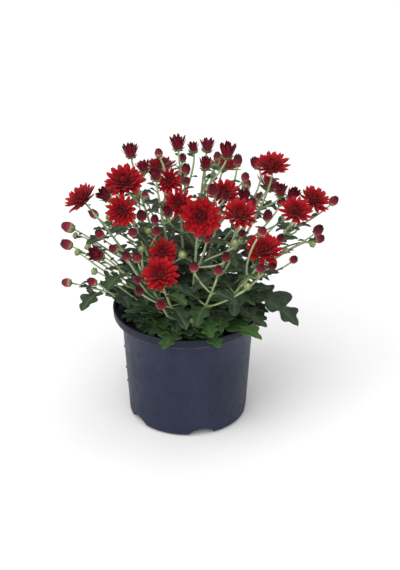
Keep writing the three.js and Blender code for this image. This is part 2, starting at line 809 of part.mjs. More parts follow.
// A side stalk starts below its tip, and lower the further out the tip is.
function addStalk(stem, tip) {
  const aside = Math.hypot(tip.middle.x - stem.root.x, tip.middle.y - stem.root.y);
  const height = tip.middle.z - STALK_DROP - STALK_SLOPE * aside;
  const reach = tip.middle.clone().sub(stem.root).setZ(0).normalize();
  for (const slot of slotsFor(stem.slots, height, reach).slice(0, STALK_SLOTS))
    for (const bow of BOWS) {
      const leave = slot.out.clone().add(slot.along).normalize();
      const curve = stalkCurve(slot.middle, leave, tip.end, tip.direction, bow);
      if (!leans(slot, curve.getPoint(STALK_SHARES[0]))) continue;
      if (!stalkIsClear(stem.name, tip, slot.corners, curve, STALK_SHARES, STALK_RADIUS)) continue;
      slot.used = true;
      return growStalk(stem, tip, slot, curve);
    }
  console.warn(`no clear way for a ${tip.kind} of ${stem.name}`);
}

function growStalk(stem, tip, slot, curve) {
  const rings = [
    ...curveRings(curve, STALK_SHARES, STALK_RADIUS, TIP_RADIUS, 3),
    ...formRings(tip, tip.end),
  ];
  place(stem.name, closed([slot.corners, ...rings]));
  stem.skin.grow(slot.quad, rings);
}

// The ways to turn and lift a leaf about its stem, in degrees, until it is clear.
const LEAF_TURNS = [0, 18, -18, 36, -36];
const LEAF_LIFTS = [0, 12, -12, 24];
const LEAF_SIZES = [1, 0.8];

const LEAF_EDGE = [
  [1, 0],
  [0.6, 0.3],
  [0.6, -0.3],
];

// Whether a leaf hangs over the open part of the rim.
function hidesRim(leaf) {
  const place = leafPlace(leaf);
  return LEAF_EDGE.some(([x, y]) => {
    const p = place(x, y, 0);
    const turn = turnOf(p);
    const inTurn = turn > OPEN_RIM.turns[0] && turn < OPEN_RIM.turns[1];
    return inTurn && Math.hypot(p.x, p.y) > OPEN_RIM.radius && p.z < OPEN_RIM.height;
  });
}

function leafIsClear(owner, leaf, { corners, middle }) {
  const tip = leafPlace(leaf)(1, 0, 0);
  const guard = (past) => closedLeaf(leaf, moved(corners, middle, tip, past), GAP);
  const leader = `${owner} leader`;
  if (!isClear(guard(LEAF_PAST))) return false;
  return isClear(guard(ROOT_PAST), [leader]) && isClear(guard(0), [owner, leader]);
}

// A leaf of a stem, at a level and near a turn. It starts at one of the two slots that suit best.
function addLeaf(stem, level, { turn, lift, length, droop }) {
  const slots = stem.slots.filter((slot) => slot.share === levels[level]);
  for (const slot of slotsFor(slots, 0, facing(turn, 0)).slice(0, 2))
    for (const size of LEAF_SIZES)
      for (const moreLift of LEAF_LIFTS)
        for (const moreTurn of LEAF_TURNS) {
          const leaf = {
            base: slot.middle,
            turn: turnOf(facing(turn, 0).add(slot.out)) + moreTurn,
            lift: lift + moreLift,
            length: length * size,
            droop,
          };
          if (!leans(slot, leafPlace(leaf)(1, 0, 0)) || hidesRim(leaf)) continue;
          if (!leafIsClear(stem.name, leaf, slot)) continue;
          place(stem.name, closedLeaf(leaf, slot.corners, 0));
          growLeaf(stem.skin, slot.quad, leaf);
          slot.used = true;
          return;
        }
}

for (const stem of stems)
  for (const leaf of OUTER_LEAVES[stem.name] ?? []) addLeaf(stem, leaf.level, leaf);
for (const stem of stems) for (const tip of stem.tips.slice(1)) addStalk(stem, tip);

// The other leaves: fewer at each higher level, and mostly outward.
stems.forEach((stem, index) => {
  const outward = turnOf(stem.root);
  LEAVES_AT_LEVEL.forEach((count, k) => {
    const height = stem.slots.find((slot) => slot.share === levels[k]).middle.z;
    for (let i = 0; i < count; i++) {
      const seed = index * 100 + k * 10 + i;
      const spread = ((k + i) * GOLDEN_TURN) % 360;
      addLeaf(stem, k, {
        turn: outward + LEAF_SPREAD * (spread > 180 ? spread - 360 : spread),
        lift: LEAF_LIFT,
        length: leafLength(height) * mix(...LEAF_SIZE_DRAW, chance(seed)),
        droop: mix(...LEAF_DROOP_DRAW, chance(seed + 5)),
      });
    }
  });
  for (const slot of stem.slots) if (!slot.used) stem.skin.face(slot.quad);
  addMesh(`stem_${stem.name}`, "stem", stem.skin.geometry());
});

export default plant;
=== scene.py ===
import math
import bpy
import numpy as np
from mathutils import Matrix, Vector
from mathutils.kdtree import KDTree


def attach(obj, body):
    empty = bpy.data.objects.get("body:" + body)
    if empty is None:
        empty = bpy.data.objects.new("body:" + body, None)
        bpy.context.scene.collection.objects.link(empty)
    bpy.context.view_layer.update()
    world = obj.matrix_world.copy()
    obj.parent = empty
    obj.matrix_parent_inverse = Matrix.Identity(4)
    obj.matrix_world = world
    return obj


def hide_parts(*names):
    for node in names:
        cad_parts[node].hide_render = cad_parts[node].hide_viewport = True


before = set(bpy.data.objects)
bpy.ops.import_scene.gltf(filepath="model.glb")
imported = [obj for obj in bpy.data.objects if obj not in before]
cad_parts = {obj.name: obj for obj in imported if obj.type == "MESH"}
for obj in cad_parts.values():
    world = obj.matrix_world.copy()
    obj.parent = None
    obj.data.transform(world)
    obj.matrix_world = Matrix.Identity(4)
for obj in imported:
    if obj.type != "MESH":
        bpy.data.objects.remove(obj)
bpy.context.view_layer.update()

# A garden chrysanthemum in a nursery pot. All places and sizes are in millimetres in the object's
# frame, with +Z up and the front towards -Y, and become metres when a piece is made.
MM = 0.001

# Camera
CAMERA_ELEVATION = 28.3
CAMERA_DISTANCE = 3000
CAMERA_TARGET = (16.6, 0, 188.6)
CAMERA_LENS = 142.2
CAMERA_SENSOR = 36

# Light and floor. Each lamp has its place, its width and its power.
LAMPS = {"fill": ((1500, -1200, 1000), 1200, 5), "top": ((200, 300, 2400), 1500, 10)}
KEY_PLACE = (-900, -1500, 1700)
KEY_STRENGTH = 2.5
KEY_SOFTNESS = 80
WORLD_STRENGTH = 0.5
LIT_PLACE = (0, 0, 200)
FLOOR_HALF = 6000
FLOOR_DROP = 0.2

# Pot
POT_HEIGHT = 160
RIM_RADIUS = 100
RIM_BAND = 13
RIM_LOW = POT_HEIGHT - RIM_BAND
RIM_WALL = 3
RIM_SHOULDER = 4
RIM_EDGE = 1.2
RIM_DRAFT = 1
RIM_PLAY = 0.2
WALL_TOP_RADIUS = 88
WALL_BASE_RADIUS = 79
WALL = 1.6
FOOT_CHAMFER = 4
OUTER_ROUND = 2.2
INNER_ROUND = 1.5
EDGE_BEVEL = 0.35
BEVEL_FROM = 50
POT_SHARP = 40
POT_SIDES = 120
NOTCHES = 5
NOTCH_TURN = 14
NOTCH_WIDTH = 36
NOTCH_HEIGHT = 11
NOTCH_DEPTH = 20
ARCH_PLACES = 21
DRAIN_RADIUS = 4
DRAIN_SIDES = 24
NUB_HEIGHTS = [95, 62.6, 41.8]
NUB_RADIUS = 1.3
NUB_SIDES = 12

# Soil
SOIL_TOP = 138
SOIL_CROWN = 6
SOIL_PLAY = 1.5
SOIL_SIDES = 96
SOIL_RINGS = 26
HOLE_DEPTH = 24
CRUMBS = 400
CRUMB_SIZE = (0.8, 3.2)
CRUMB_REACH = 0.96
CRUMB_SIDES = 6

# Stems and what they carry
GAP = 0.3
COLLAR_Z = SOIL_TOP + SOIL_CROWN + 3
FOOT_Z = SOIL_TOP - HOLE_DEPTH + 2
ROOT_SHARES = (0.33, 0.58)
LOWEST_LEVEL = 0.07
HIGHEST_LEVEL = 0.66
LEVELS = 4
LEADER_RADIUS = 2.2
STALK_RADIUS = 1.4
TIP_RADIUS = 1.1
STALK_STEP = 6.5
FEWEST_STALK_RINGS = 10
SLOT_HEIGHT = 3.4
CUP_HEIGHT = 4
START_PULL = 0.22
END_PULL = 0.24
GOLDEN_TURN = 137.5
BOWS = [0, 7, -7, 14, -14, 21, -21, 28, -28]
STALK_SHARES = [0.25, 0.6]

# Leaves of the levels
LEAF_LONGEST = 56
LEAF_SHORTEST = 30
LEAF_LOW_Z = 160
LEAF_HIGH_Z = 300
LEAVES_AT_LEVEL = [3, 3, 3, 1]
LEAF_FOLD = 0.3
LEAF_LIFT = 20
LEAF_SPREAD = 0.75
LEAF_SIZE_DRAW = (0.88, 1.12)
LEAF_DROOP_DRAW = (0.3, 0.52)
LEAF_TURNS = [0, 18, -18, 36, -36]
LEAF_LIFTS = [0, 12, -12, 24]
LEAF_SIZES = [1, 0.8]
BROAD_FROM = 49
SAME_PLACE = 0.25

# Leaves between the levels, close over the soil and on the stalks: the limits of their length (or
# of a factor on it), lift and droop, and the steps of the seeds of these three and of the leaf.
ADDED_LEAVES = {
    "inner": ((0.85, 1.15), (5, 45), (0.3, 0.6), (4.3, 3.1, 6.1, 0.7)),
    "low": ((26, 46), (4, 34), (0.15, 0.4), (4.9, 3.7, 5.3, 0.9)),
    "bract": ((7, 14), (15, 60), (0.2, 0.6), (5.9, 3.3, 7.7, 1.9)),
}
INNER_LEAVES = 9
INNER_SHARES = (0.1, 0.82)
INNER_LENGTH = (36, 17)
LOW_LEAVES = 6
LOW_SHARE = 0.11
LEADER_BRACTS = (3, 0.74, 0.97)
STALK_BRACTS = (2, 0.3, 0.95)
SUNK = 0.7
BRACT_SUNK = 0.6
WALL_ROOM = 85
RIM_ROOM = 94
OVER_RIM = POT_HEIGHT + 3
FITTING_SIZES = (1, 0.8, 0.62)
FRONT_STEM_Y = -30
FRONT_TURN = 50

# Blades. Waves, puffs and bends are shares of the length.
BLADE_THICKNESS = 0.5
BLADE_BEND = 0.07
BLADE_WAVE = 0.02
BLADE_PUFF = 0.011
VEIN_WIDTH = 0.022
VEIN_DEPTH = 0.35
RIB_RADII = (1.15, 0.75, 0.2)
RIB_RELIEF = 0.07
RIB_STALK = 0.2
RIB_PLACES = np.concatenate([np.linspace(-0.02, RIB_STALK, 3), np.linspace(0.36, 0.97, 4)])

# Large leaves that hang out over the rim: level, turn, lift, length and droop.
OUTER_LEAVES = {
    "far_right": [(1, 72, -4, 92, 0.34)],
    "right": [(1, 80, 16, 66, 0.4)],
    "right_low": [(0, 48, 38, 74, 0.58), (1, 28, 10, 60, 0.4)],
    "front_right": [(0, 8, 38, 56, 0.56)],
    "front_bloom": [(0, -22, 38, 54, 0.56)],
    "left_low": [(1, -88, 4, 56, 0.34)],
}

# The part of the rim that no leaf hangs over: its turns, how far out it lies, and the heights
# between which a leaf would hide it. The low leaves are denser on its side.
OPEN_RIM_TURNS = (-84, -24)
OPEN_RIM_RADIUS = 80
OPEN_RIM_HEIGHTS = (POT_HEIGHT - 3, 188)
OPEN_SIDE = (-100, -15)
OPEN_SIDE_TIMES = 3

# Flowers, in their own frame: the base at the origin, facing +Z. A layer of petals has a count, a
# radius, a height, a lift, a curl, a length and a width. Petals leave the core at the radius and
# height, rise at the lift and bend by the curl, in degrees, towards their tips. Heights are in
# millimetres, and radii, lengths and widths are shares of the flower's radius.
BLOOM_LAYERS = [
    (14, 0.2, 0.4, 11, 18, 0.88, 0.29),
    (13, 0.19, 1.4, 23, 18, 0.84, 0.28),
    (12, 0.18, 2.4, 36, 16, 0.76, 0.26),
    (11, 0.16, 3.4, 49, 12, 0.65, 0.23),
    (10, 0.14, 4.2, 61, 12, 0.54, 0.2),
    (8, 0.11, 4.8, 71, 24, 0.44, 0.16),
    (6, 0.08, 5.2, 79, 42, 0.35, 0.13),
    (4, 0.04, 5.4, 85, 54, 0.28, 0.1),
]
HALF_LAYERS = [
    (9, 0.54, 0.3, 66, 4, 1.56, 0.5),
    (9, 0.44, 0.6, 72, 6, 1.64, 0.48),
    (8, 0.34, 0.9, 79, 8, 1.58, 0.46),
    (6, 0.2, 1.0, 83, 8, 1.48, 0.4),
    (4, 0.08, 1.1, 88, 8, 1.36, 0.34),
]
BLOOM_CORE = [(0.01, 0), (0.2, 0), (0.24, 1.6), (0.22, 4), (0.16, 5.4), (0.08, 6.2), (0.01, 6.5)]
HALF_CORE = [(0.01, 0), (0.52, 0), (0.6, 0.14), (0.62, 0.5), (0.5, 0.9), (0.2, 1.15), (0.01, 1.2)]
HALF_FORM = {"cup": 0.4, "loose": 1.1, "claw": 0.8, "shoulder": 0.44}
BLOOM_WIDTHS = (38, 52)
PETAL_BREADTHS = (0.78, 1.0)
PETAL_ROWS = np.array([0, 0.16, 0.34, 0.52, 0.68, 0.81, 0.91, 1.0])
INNER_ROWS = np.array([0, 0.25, 0.5, 0.72, 0.88, 1.0])
PETAL_THICKNESS = 0.4
PETAL_STEPS = 32
PETAL_POINT = (0.5, 0.85)

# How far petals differ in length, width, lift, curl, turn and sideways bend.
PETAL_DRAWS = (0.16, 0.2, 17, 1.6, 2.2, 0.2)

# Buds and cups. A shell of scales round an egg has a count, the polar angles where they start and
# end, measured from the top, an overlap, rows, columns, a lap and a flare.
BUD_PETALS = [(7, 150, 30, 1.2, 7, 5, 0.25, 1), (6, 75, 8, 1.0, 5, 4, 0.1, 0.4)]
BUD_SCALES = [(8, 174, 108, 1.1, 4, 4, 0.35, 0.3), (6, 176, 130, 0.8, 4, 4, 0.6, 0.9)]
GREEN_SCALES = [(9, 165, 30, 1.2, 7, 4, 0.2, 0), (6, 170, 80, 1.0, 5, 4, 0.5, 0.5)]
SCALE_THICKNESS = 0.35
BUD_RADIUS = 0.9
BUD_TALL = (1.08, 1.42)
BUD_TAPER = 0.27
BUD_FLARE = (3.2, 0.4)
GREEN_TALL = 0.84
GREEN_MIDDLE = 0.86
CORE_SIDES = 16
BUD_SIDES = 14
PLANT_SHARP = 58
CUP_RIMS = {"bloom": 0.24, "half": 0.66}
CUP_CURLS = {"bloom": -10, "half": 45}
CUP_SCALE = 5.5
CUP_THICKNESS = 0.4
FLOWER_PIECES = {"bloom": ("petals", "petals"), "half": ("opening", "opening_petals")}

# Each stem's tips: kind, place (x, y, z), width, and where it faces: the turn from the front
# towards +X and the lift above level, in degrees. The first tip ends the leading stem.
STEMS = {
    "left_back": [
        ("bloom", -138, 9, 311, 46, -70, 55),
        ("half", -111, 36, 305, 18, -60, 50),
        ("bud", -156, 7, 271, 16, -90, 25),
        ("green", -148, 3, 261, 8, -80, 10),
    ],
    "left": [
        ("half", -118, -57, 265, 20, -45, 35),
        ("bud", -158, -13, 256, 15, -90, 25),
        ("green", -144, -23, 250, 9, -80, 40),
        ("green", -130, -33, 263, 8, -60, 60),
        ("green", -121, -54, 238, 9, -50, 30),
    ],
    "left_low": [
        ("bud", -159, -31, 209, 13, -90, 10),
        ("bud", -123, -56, 223, 12, -60, 35),
    ],
    "back_left": [
        ("half", -75, 42, 367, 19, -70, 82),
        ("bloom", -82, 12, 335, 52, -10, 66),
        ("green", -50, -43, 291, 9, -20, 70),
    ],
    "left_middle": [
        ("bloom", -84, -46, 322, 43, -15, 25),
        ("bud", -114, -32, 281, 13, -60, 60),
        ("bud", -96, -43, 265, 11, -40, 45),
        ("bud", -70, -62, 299, 13, -20, 60),
    ],
    "front_left": [
        ("bud", -64, -86, 275, 14, -20, 70),
        ("bud", -78, -82, 275, 12, -40, 65),
        ("bud", -64, -94, 247, 12, -20, 45),
        ("green", -59, -61, 274, 9, 0, 60),
    ],
    "front_bloom": [
        ("bloom", -34, -115, 265, 48, 0, 52),
        ("bud", -61, -110, 239, 12, -10, 45),
        ("bud", -33, -118, 224, 16, -5, 40),
    ],
    "middle_left": [
        ("bud", -59, -34, 309, 15, -20, 65),
        ("bloom", -31, -65, 272, 38, 0, 40),
        ("bud", -40, -56, 297, 13, 0, 60),
        ("bud", -42, -38, 305, 11, 0, 75),
        ("green", -6, -94, 283, 10, 0, 40),
    ],
    "top_left": [
        ("half", -41, -4, 354, 16, -30, 80),
        ("bloom", -24, 30, 328, 36, 0, 35),
        ("bud", -38, 61, 354, 12, -90, 80),
        ("bud", -29, 66, 330, 11, 180, 75),
    ],
    "top": [
        ("half", -13, 49, 375, 20, -60, 84),
        ("bud", -6, 58, 347, 9, 180, 80),
        ("bud", -2, 24, 348, 13, 30, 80),
        ("bud", -1, 20, 333, 11, 0, 60),
        ("half", 7, 68, 360, 14, -120, 80),
    ],
    "middle": [
        ("bloom", -11, -10, 315, 40, -5, 40),
        ("half", -25, -47, 322, 14, -10, 70),
    ],
    "middle_front": [
        ("bloom", 18, -87, 334, 54, 5, 22),
        ("bud", 26, -80, 298, 11, 10, 50),
        ("bud", 50, -100, 283, 12, 0, 65),
        ("green", 61, -78, 292, 11, 0, 60),
    ],
    "top_right": [
        ("half", 27, 73, 361, 18, 120, 80),
        ("half", 24, 34, 352, 16, 20, 80),
        ("green", 35, 59, 336, 10, 180, 80),
        ("green", 35, 50, 327, 9, 90, 60),
        ("half", 53, 49, 364, 22, 60, 84),
        ("bud", 40, 58, 350, 11, -90, 80),
    ],
    "back_right": [
        ("bloom", 47, 16, 316, 44, 10, 65),
        ("bud", 66, 34, 355, 13, 60, 85),
        ("bud", 34, -15, 335, 15, -20, 70),
        ("bud", 50, -20, 331, 13, 10, 60),
        ("bud", 76, 22, 338, 12, 40, 70),
        ("bud", 91, 62, 338, 15, -100, 60),
    ],
    "right_middle": [
        ("bloom", 68, -59, 323, 46, 10, 64),
        ("half", 74, 0, 321, 18, 0, 70),
        ("bud", 83, -29, 323, 13, 60, 70),
        ("bud", 71, -50, 291, 10, 10, 50),
    ],
    "right_back": [
        ("bloom", 111, 32, 348, 47, -15, 76),
        ("bud", 104, -42, 313, 13, 20, 70),
        ("bud", 123, 14, 305, 12, 60, 70),
        ("half", 122, 2, 328, 16, 30, 75),
    ],
    "right": [
        ("bloom", 141, -29, 312, 44, 10, 60),
        ("bud", 121, -50, 284, 12, 20, 55),
        ("green", 128, -53, 268, 8, 40, 40),
        ("bud", 138, -63, 260, 11, 40, 50),
    ],
    "far_right": [
        ("bloom", 166, 11, 308, 43, 35, 56),
        ("half", 140, 36, 306, 18, 60, 60),
        ("bud", 192, 18, 304, 13, 60, 55),
        ("bud", 171, -13, 277, 14, 40, 50),
        ("bud", 174, 0, 258, 13, 80, 20),
        ("green", 164, -23, 262, 9, 50, 20),
    ],
    "right_low": [
        ("bloom", 99, -80, 282, 50, 5, 68),
        ("bud", 95, -112, 326, 13, 30, 60),
        ("bud", 94, -118, 276, 14, 10, 50),
        ("bud", 110, -75, 257, 11, 40, 40),
    ],
    "front_right": [
        ("bud", 40, -110, 269, 13, 10, 65),
        ("green", 77, -112, 247, 10, 30, 55),
        ("bud", 9, -112, 274, 13, 0, 65),
        ("green", 7, -92, 186, 9, 0, 40),
    ],
    "rear_left": [
        ("bloom", -98, 92, 285, 46, -130, 45),
        ("half", -60, 98, 318, 18, -140, 70),
        ("bud", -70, 122, 262, 13, -150, 50),
        ("bud", -126, 72, 258, 12, -110, 40),
        ("green", -108, 104, 238, 9, -130, 30),
    ],
    "rear_middle": [
        ("bloom", -38, 126, 300, 48, -165, 45),
        ("bud", -10, 138, 278, 13, 180, 55),
        ("bud", -58, 140, 250, 12, -150, 45),
        ("bloom", 12, 130, 232, 44, 175, 35),
    ],
    "rear_right_middle": [
        ("bloom", 48, 120, 306, 47, 160, 48),
        ("bud", 80, 126, 276, 14, 150, 55),
        ("green", 50, 146, 246, 10, 160, 35),
    ],
    "rear_right": [
        ("bloom", 110, 90, 290, 45, 125, 45),
        ("bud", 142, 66, 262, 12, 100, 40),
        ("bud", 94, 120, 258, 13, 140, 45),
        ("green", 128, 94, 240, 9, 120, 35),
    ],
}

UP = np.array([0.0, 0.0, 1.0])


def chance(seed):
    """The same number between 0 and 1 each time for one seed."""
    wave = math.sin(seed * 127.1) * 43758.5453
    return wave - math.floor(wave)


def chances(seed, count):
    """Several such numbers, one for each part of a row."""
    return np.array([chance(seed + 1.37 * i) for i in range(count)])


def mix(a, b, share):
    return a + (b - a) * share


def draw(limits, seed):
    return mix(*limits, chance(seed))


def unit(v):
    return v / np.linalg.norm(v, axis=-1, keepdims=True)


def ease(low, high, x):
    """A smooth step from 0 at low to 1 at high."""
    t = np.clip((x - low) / (high - low), 0, 1)
    return t * t * (3 - 2 * t)


def facing(turn, lift):
    """A direction from its turn away from the front, towards +X, and its lift above level."""
    a, b = math.radians(turn), math.radians(lift)
    return np.array([math.sin(a) * math.cos(b), -math.cos(a) * math.cos(b), math.sin(b)])


def turn_of(v):
    return math.degrees(math.atan2(v[0], -v[1]))


def axes(directions):
    """Two directions square to each of several directions, by the shortest turn from straight up."""
    x, y, z = np.moveaxis(np.asarray(directions, float), -1, 0)
    k = 1 / (1 + np.maximum(z, -0.999))
    first = np.stack([1 - x * x * k, -x * y * k, -x], -1)
    second = np.stack([-x * y * k, 1 - y * y * k, -y], -1)
    return first, second


def turned_to(direction, places):
    """Places of a frame that faces +Z, turned to face a direction."""
    first, second = axes(direction)
    return places @ np.stack([first, second, np.asarray(direction, float)])


class Curve:
    """A cubic curve that leaves its start along one direction and reaches its end along another.
    The bow pushes its middle sideways."""

    def __init__(self, start, start_direction, end, end_direction, bow):
        reach = np.linalg.norm(end - start)
        aside = unit(np.cross(end - start, UP)) * bow
        first = start + start_direction * reach * START_PULL + aside
        second = end - end_direction * reach * END_PULL + aside
        self.knots = np.array([start, first, second, end])

    def point(self, t):
        t = np.asarray(t, float)[..., None]
        a, b, c, d = self.knots
        u = 1 - t
        return u**3 * a + 3 * u * u * t * b + 3 * u * t * t * c + t**3 * d

    def tangent(self, t):
        t = np.asarray(t, float)[..., None]
        a, b, c, d = self.knots
        u = 1 - t
        return unit(u * u * (b - a) + 2 * u * t * (c - b) + t * t * (d - c))

    def length(self):
        places = self.point(np.linspace(0, 1, 201))
        return np.linalg.norm(np.diff(places, axis=0), axis=1).sum()


def ring(centre, direction, radius, sides):
    first, second = axes(direction)
    angles = np.arange(sides) * 2 * math.pi / sides
    return centre + radius * (np.outer(np.cos(angles), first) + np.outer(np.sin(angles), second))


# Where the stems, stalks and leaves of the frame's solids went: of the ways that each could go,
# the one whose corners are all corners of the solid.
def corners_of(node):
    """The corners of a solid, ready to be searched."""
    tree = KDTree(len(node.data.vertices))
    for i, vertex in enumerate(node.data.vertices):
        tree.insert(node.matrix_world @ vertex.co, i)
    tree.balance()
    return tree


def misfit(tree, places):
    """How far the worst of some places is from the nearest corner."""
    return max(tree.find(place * MM)[2] for place in places) / MM


def best(tree, ways, corners, limit=math.inf):
    """The way whose corners lie nearest to the solid's, if they lie within a limit of them."""
    error, i = min((misfit(tree, corners(way)), i) for i, way in enumerate(ways))
    return ways[i] if error < limit else None


# How far below the middle of what it carries a stalk ends.
SEATS = {
    "bloom": lambda width: CUP_HEIGHT + 3,
    "half": lambda width: width * 0.45 + CUP_HEIGHT,
    "bud": lambda width: width * 0.5,
    "green": lambda width: width * 0.4,
}

LEVEL_SHARES = [mix(LOWEST_LEVEL, HIGHEST_LEVEL, i / (LEVELS - 1)) for i in range(LEVELS)]


def read_tip(row):
    kind, x, y, z, width, turn, lift = row
    direction = facing(turn, lift)
    middle = np.array([x, y, z], float)
    end = middle - direction * SEATS[kind](width)
    return {"kind": kind, "width": width, "middle": middle, "direction": direction, "end": end}


def ring_on(curve, share, start_radius, sides):
    radius = mix(start_radius, TIP_RADIUS, share)
    return ring(curve.point(share), curve.tangent(share), radius, sides)


def stem_slots(curve):
    """The places round a leading stem where leaves and side stalks can start."""
    half = SLOT_HEIGHT / 2 / curve.length()
    slots = []
    for level, share in enumerate(LEVEL_SHARES):
        low, high = [ring_on(curve, s, LEADER_RADIUS, 4) for s in (share - half, share + half)]
        for j in range(4):
            k = (j + 1) % 4
            middle = (low[j] + low[k] + high[k] + high[j]) / 4
            out = unit(middle - curve.point(share))
            slots.append({"level": level, "middle": middle, "out": out, "along": curve.tangent(share)})
    return slots


def find_leader(tree, leader, root):
    """The curve of the leading stem, from over its root to its tip."""
    collar = np.array([root[0], root[1], COLLAR_Z])
    ways = [Curve(collar, UP, leader["end"], leader["direction"], bow) for bow in BOWS]

    def low_rings(curve):
        half = SLOT_HEIGHT / 2 / curve.length()
        return np.concatenate([ring_on(curve, s - half, LEADER_RADIUS, 4) for s in LEVEL_SHARES[1:]])

    return best(tree, ways, low_rings)


def find_stalk(tree, tip, slots):
    """The slot and curve of a side stalk."""
    ways = []
    for slot in slots:
        leave = unit(slot["out"] + slot["along"])
        for bow in BOWS:
            ways.append((slot, Curve(slot["middle"], leave, tip["end"], tip["direction"], bow)))

    def rings(way):
        return np.concatenate([ring_on(way[1], share, STALK_RADIUS, 3) for share in STALK_SHARES])

    return best(tree, ways, rings)


# Leaves. The places on a side of a blade are shares of its length: along the midrib, and out from
# it. FEET are the places on the midrib where the veins to those places start.
BROAD_SIDE = [
    (0.2, 0.012), (0.235, 0.05), (0.28, 0.13), (0.335, 0.2), (0.395, 0.235), (0.432, 0.222),
    (0.448, 0.17), (0.446, 0.11), (0.452, 0.07), (0.468, 0.066), (0.49, 0.11), (0.53, 0.2),
    (0.59, 0.285), (0.655, 0.322), (0.7, 0.305), (0.718, 0.25), (0.715, 0.18), (0.712, 0.12),
    (0.722, 0.088), (0.742, 0.09), (0.77, 0.14), (0.82, 0.19), (0.87, 0.205), (0.895, 0.18),
    (0.9, 0.13), (0.908, 0.1), (0.928, 0.088), (0.955, 0.085), (0.985, 0.06), (1.0, 0.026),
    (1.004, 0.003),
]
BROAD_FEET = [
    (0.2, 0.2), (0.33, 0.24), (0.44, 0.34), (0.58, 0.42), (0.71, 0.6), (0.82, 0.66), (1, 0.99),
]
SMALL_SIDE = [
    (0.2, 0.014), (0.236, 0.06), (0.272, 0.155), (0.318, 0.24), (0.378, 0.268), (0.428, 0.235),
    (0.458, 0.165), (0.478, 0.1), (0.508, 0.09), (0.538, 0.15), (0.58, 0.235), (0.64, 0.275),
    (0.7, 0.265), (0.742, 0.205), (0.764, 0.145), (0.794, 0.122), (0.834, 0.148), (0.884, 0.15),
    (0.932, 0.115), (0.975, 0.06), (1.0, 0.003),
]
SMALL_FEET = [(0.2, 0.2), (0.37, 0.26), (0.495, 0.38), (0.66, 0.48), (0.79, 0.68), (1, 0.99)]
PLAIN_SIDE = [
    (0.02, 0.03), (0.12, 0.06), (0.28, 0.15), (0.45, 0.23), (0.62, 0.25), (0.78, 0.21),
    (0.9, 0.13), (0.97, 0.06), (1.0, 0.004),
]
PLAIN_FEET = [(0.02, 0.02), (0.45, 0.3), (1, 0.985)]


def blade_shape(side, feet, columns):
    """A half blade as rows from the midrib's feet out to the edge: how far along and out its places
    lie, how far each is on a vein, and its share of the way from the midrib to the edge."""
    edge, feet = np.array(side), np.array(feet)
    foot = np.maximum.accumulate(np.interp(edge[:, 0], *feet.T))[:, None]
    out = np.linspace(0, 1, columns) * np.ones((len(edge), 1))
    x = mix(foot, edge[:, :1], out)
    y = edge[:, 1:] * out**0.92
    near = np.min(np.abs(edge[:, :1] - feet[1::2, 0]), axis=1)[:, None]
    vein = np.exp(-((near / VEIN_WIDTH) ** 2)) * np.ones(columns)
    return x, y, vein, out


BROAD_SHAPE = blade_shape(BROAD_SIDE, BROAD_FEET, 4)
SMALL_SHAPE = blade_shape(SMALL_SIDE, SMALL_FEET, 4)
INNER_SHAPE = blade_shape(SMALL_SIDE, SMALL_FEET, 3)
PLAIN_SHAPE = blade_shape(PLAIN_SIDE, PLAIN_FEET, 3)


def leaf_places(leaf, x, y, z):
    """Places of a leaf's own frame, as shares of its length: along its midrib, out to its left
    side, and up from its face in millimetres."""
    along = facing(leaf["turn"], leaf["lift"])
    side = np.cross(UP, facing(leaf["turn"], 0))
    normal = np.cross(along, side)
    length = leaf["length"]
    x, y, z = np.broadcast_arrays(np.asarray(x, float), y, z)
    rise = z + length * (LEAF_FOLD * np.abs(y) - leaf["droop"] * x * x)
    return leaf["base"] + length * (x[..., None] * along + y[..., None] * side) + rise[..., None] * normal


def leaf_corners(leaf):
    """The tip and four other corners of a leaf of the frame's solid."""
    broad = leaf["length"] > BROAD_FROM
    edge = [(0.6, 0.3), (0.33, 0.21)] if broad else [(0.4, 0.25), (0.74, 0.24)]
    places = [leaf_places(leaf, 1, 0, 0)]
    for x, y in edge:
        places.append(leaf_places(leaf, x, y, 0))
        places.append(leaf_places(leaf, x, -y, 0))
    return places


def find_leaf(tree, level, turn, lift, length, droop, seed):
    """The leaf of a level that was asked for, as it went, if it did."""
    ways = [
        {
            "base": slot["middle"],
            "turn": turn_of(facing(turn, 0) + slot["out"]) + more_turn,
            "lift": lift + more_lift,
            "length": length * size,
            "droop": droop,
            "seed": seed,
        }
        for slot in level
        for size in LEAF_SIZES
        for more_lift in LEAF_LIFTS
        for more_turn in LEAF_TURNS
    ]
    return best(tree, ways, leaf_corners, SAME_PLACE)


def find_leaves(tree, name, slots, root, index):
    """The leaves of a stem, as the frame's solid has them."""
    levels = [[slot for slot in slots if slot["level"] == k] for k in range(LEVELS)]
    found = []
    for i, (k, turn, lift, length, droop) in enumerate(OUTER_LEAVES.get(name, [])):
        found.append(find_leaf(tree, levels[k], turn, lift, length, droop, index * 100 + 90 + i))
    outward = turn_of(root)
    for k, level in enumerate(levels):
        share = np.clip((level[0]["middle"][2] - LEAF_LOW_Z) / (LEAF_HIGH_Z - LEAF_LOW_Z), 0, 1)
        for i in range(LEAVES_AT_LEVEL[k]):
            seed = index * 100 + k * 10 + i
            spread = ((k + i) * GOLDEN_TURN) % 360
            turn = outward + LEAF_SPREAD * (spread - 360 if spread > 180 else spread)
            length = mix(LEAF_LONGEST, LEAF_SHORTEST, share) * draw(LEAF_SIZE_DRAW, seed)
            droop = draw(LEAF_DROOP_DRAW, seed + 5)
            found.append(find_leaf(tree, level, turn, LEAF_LIFT, length, droop, seed))
    return [leaf for leaf in found if leaf]


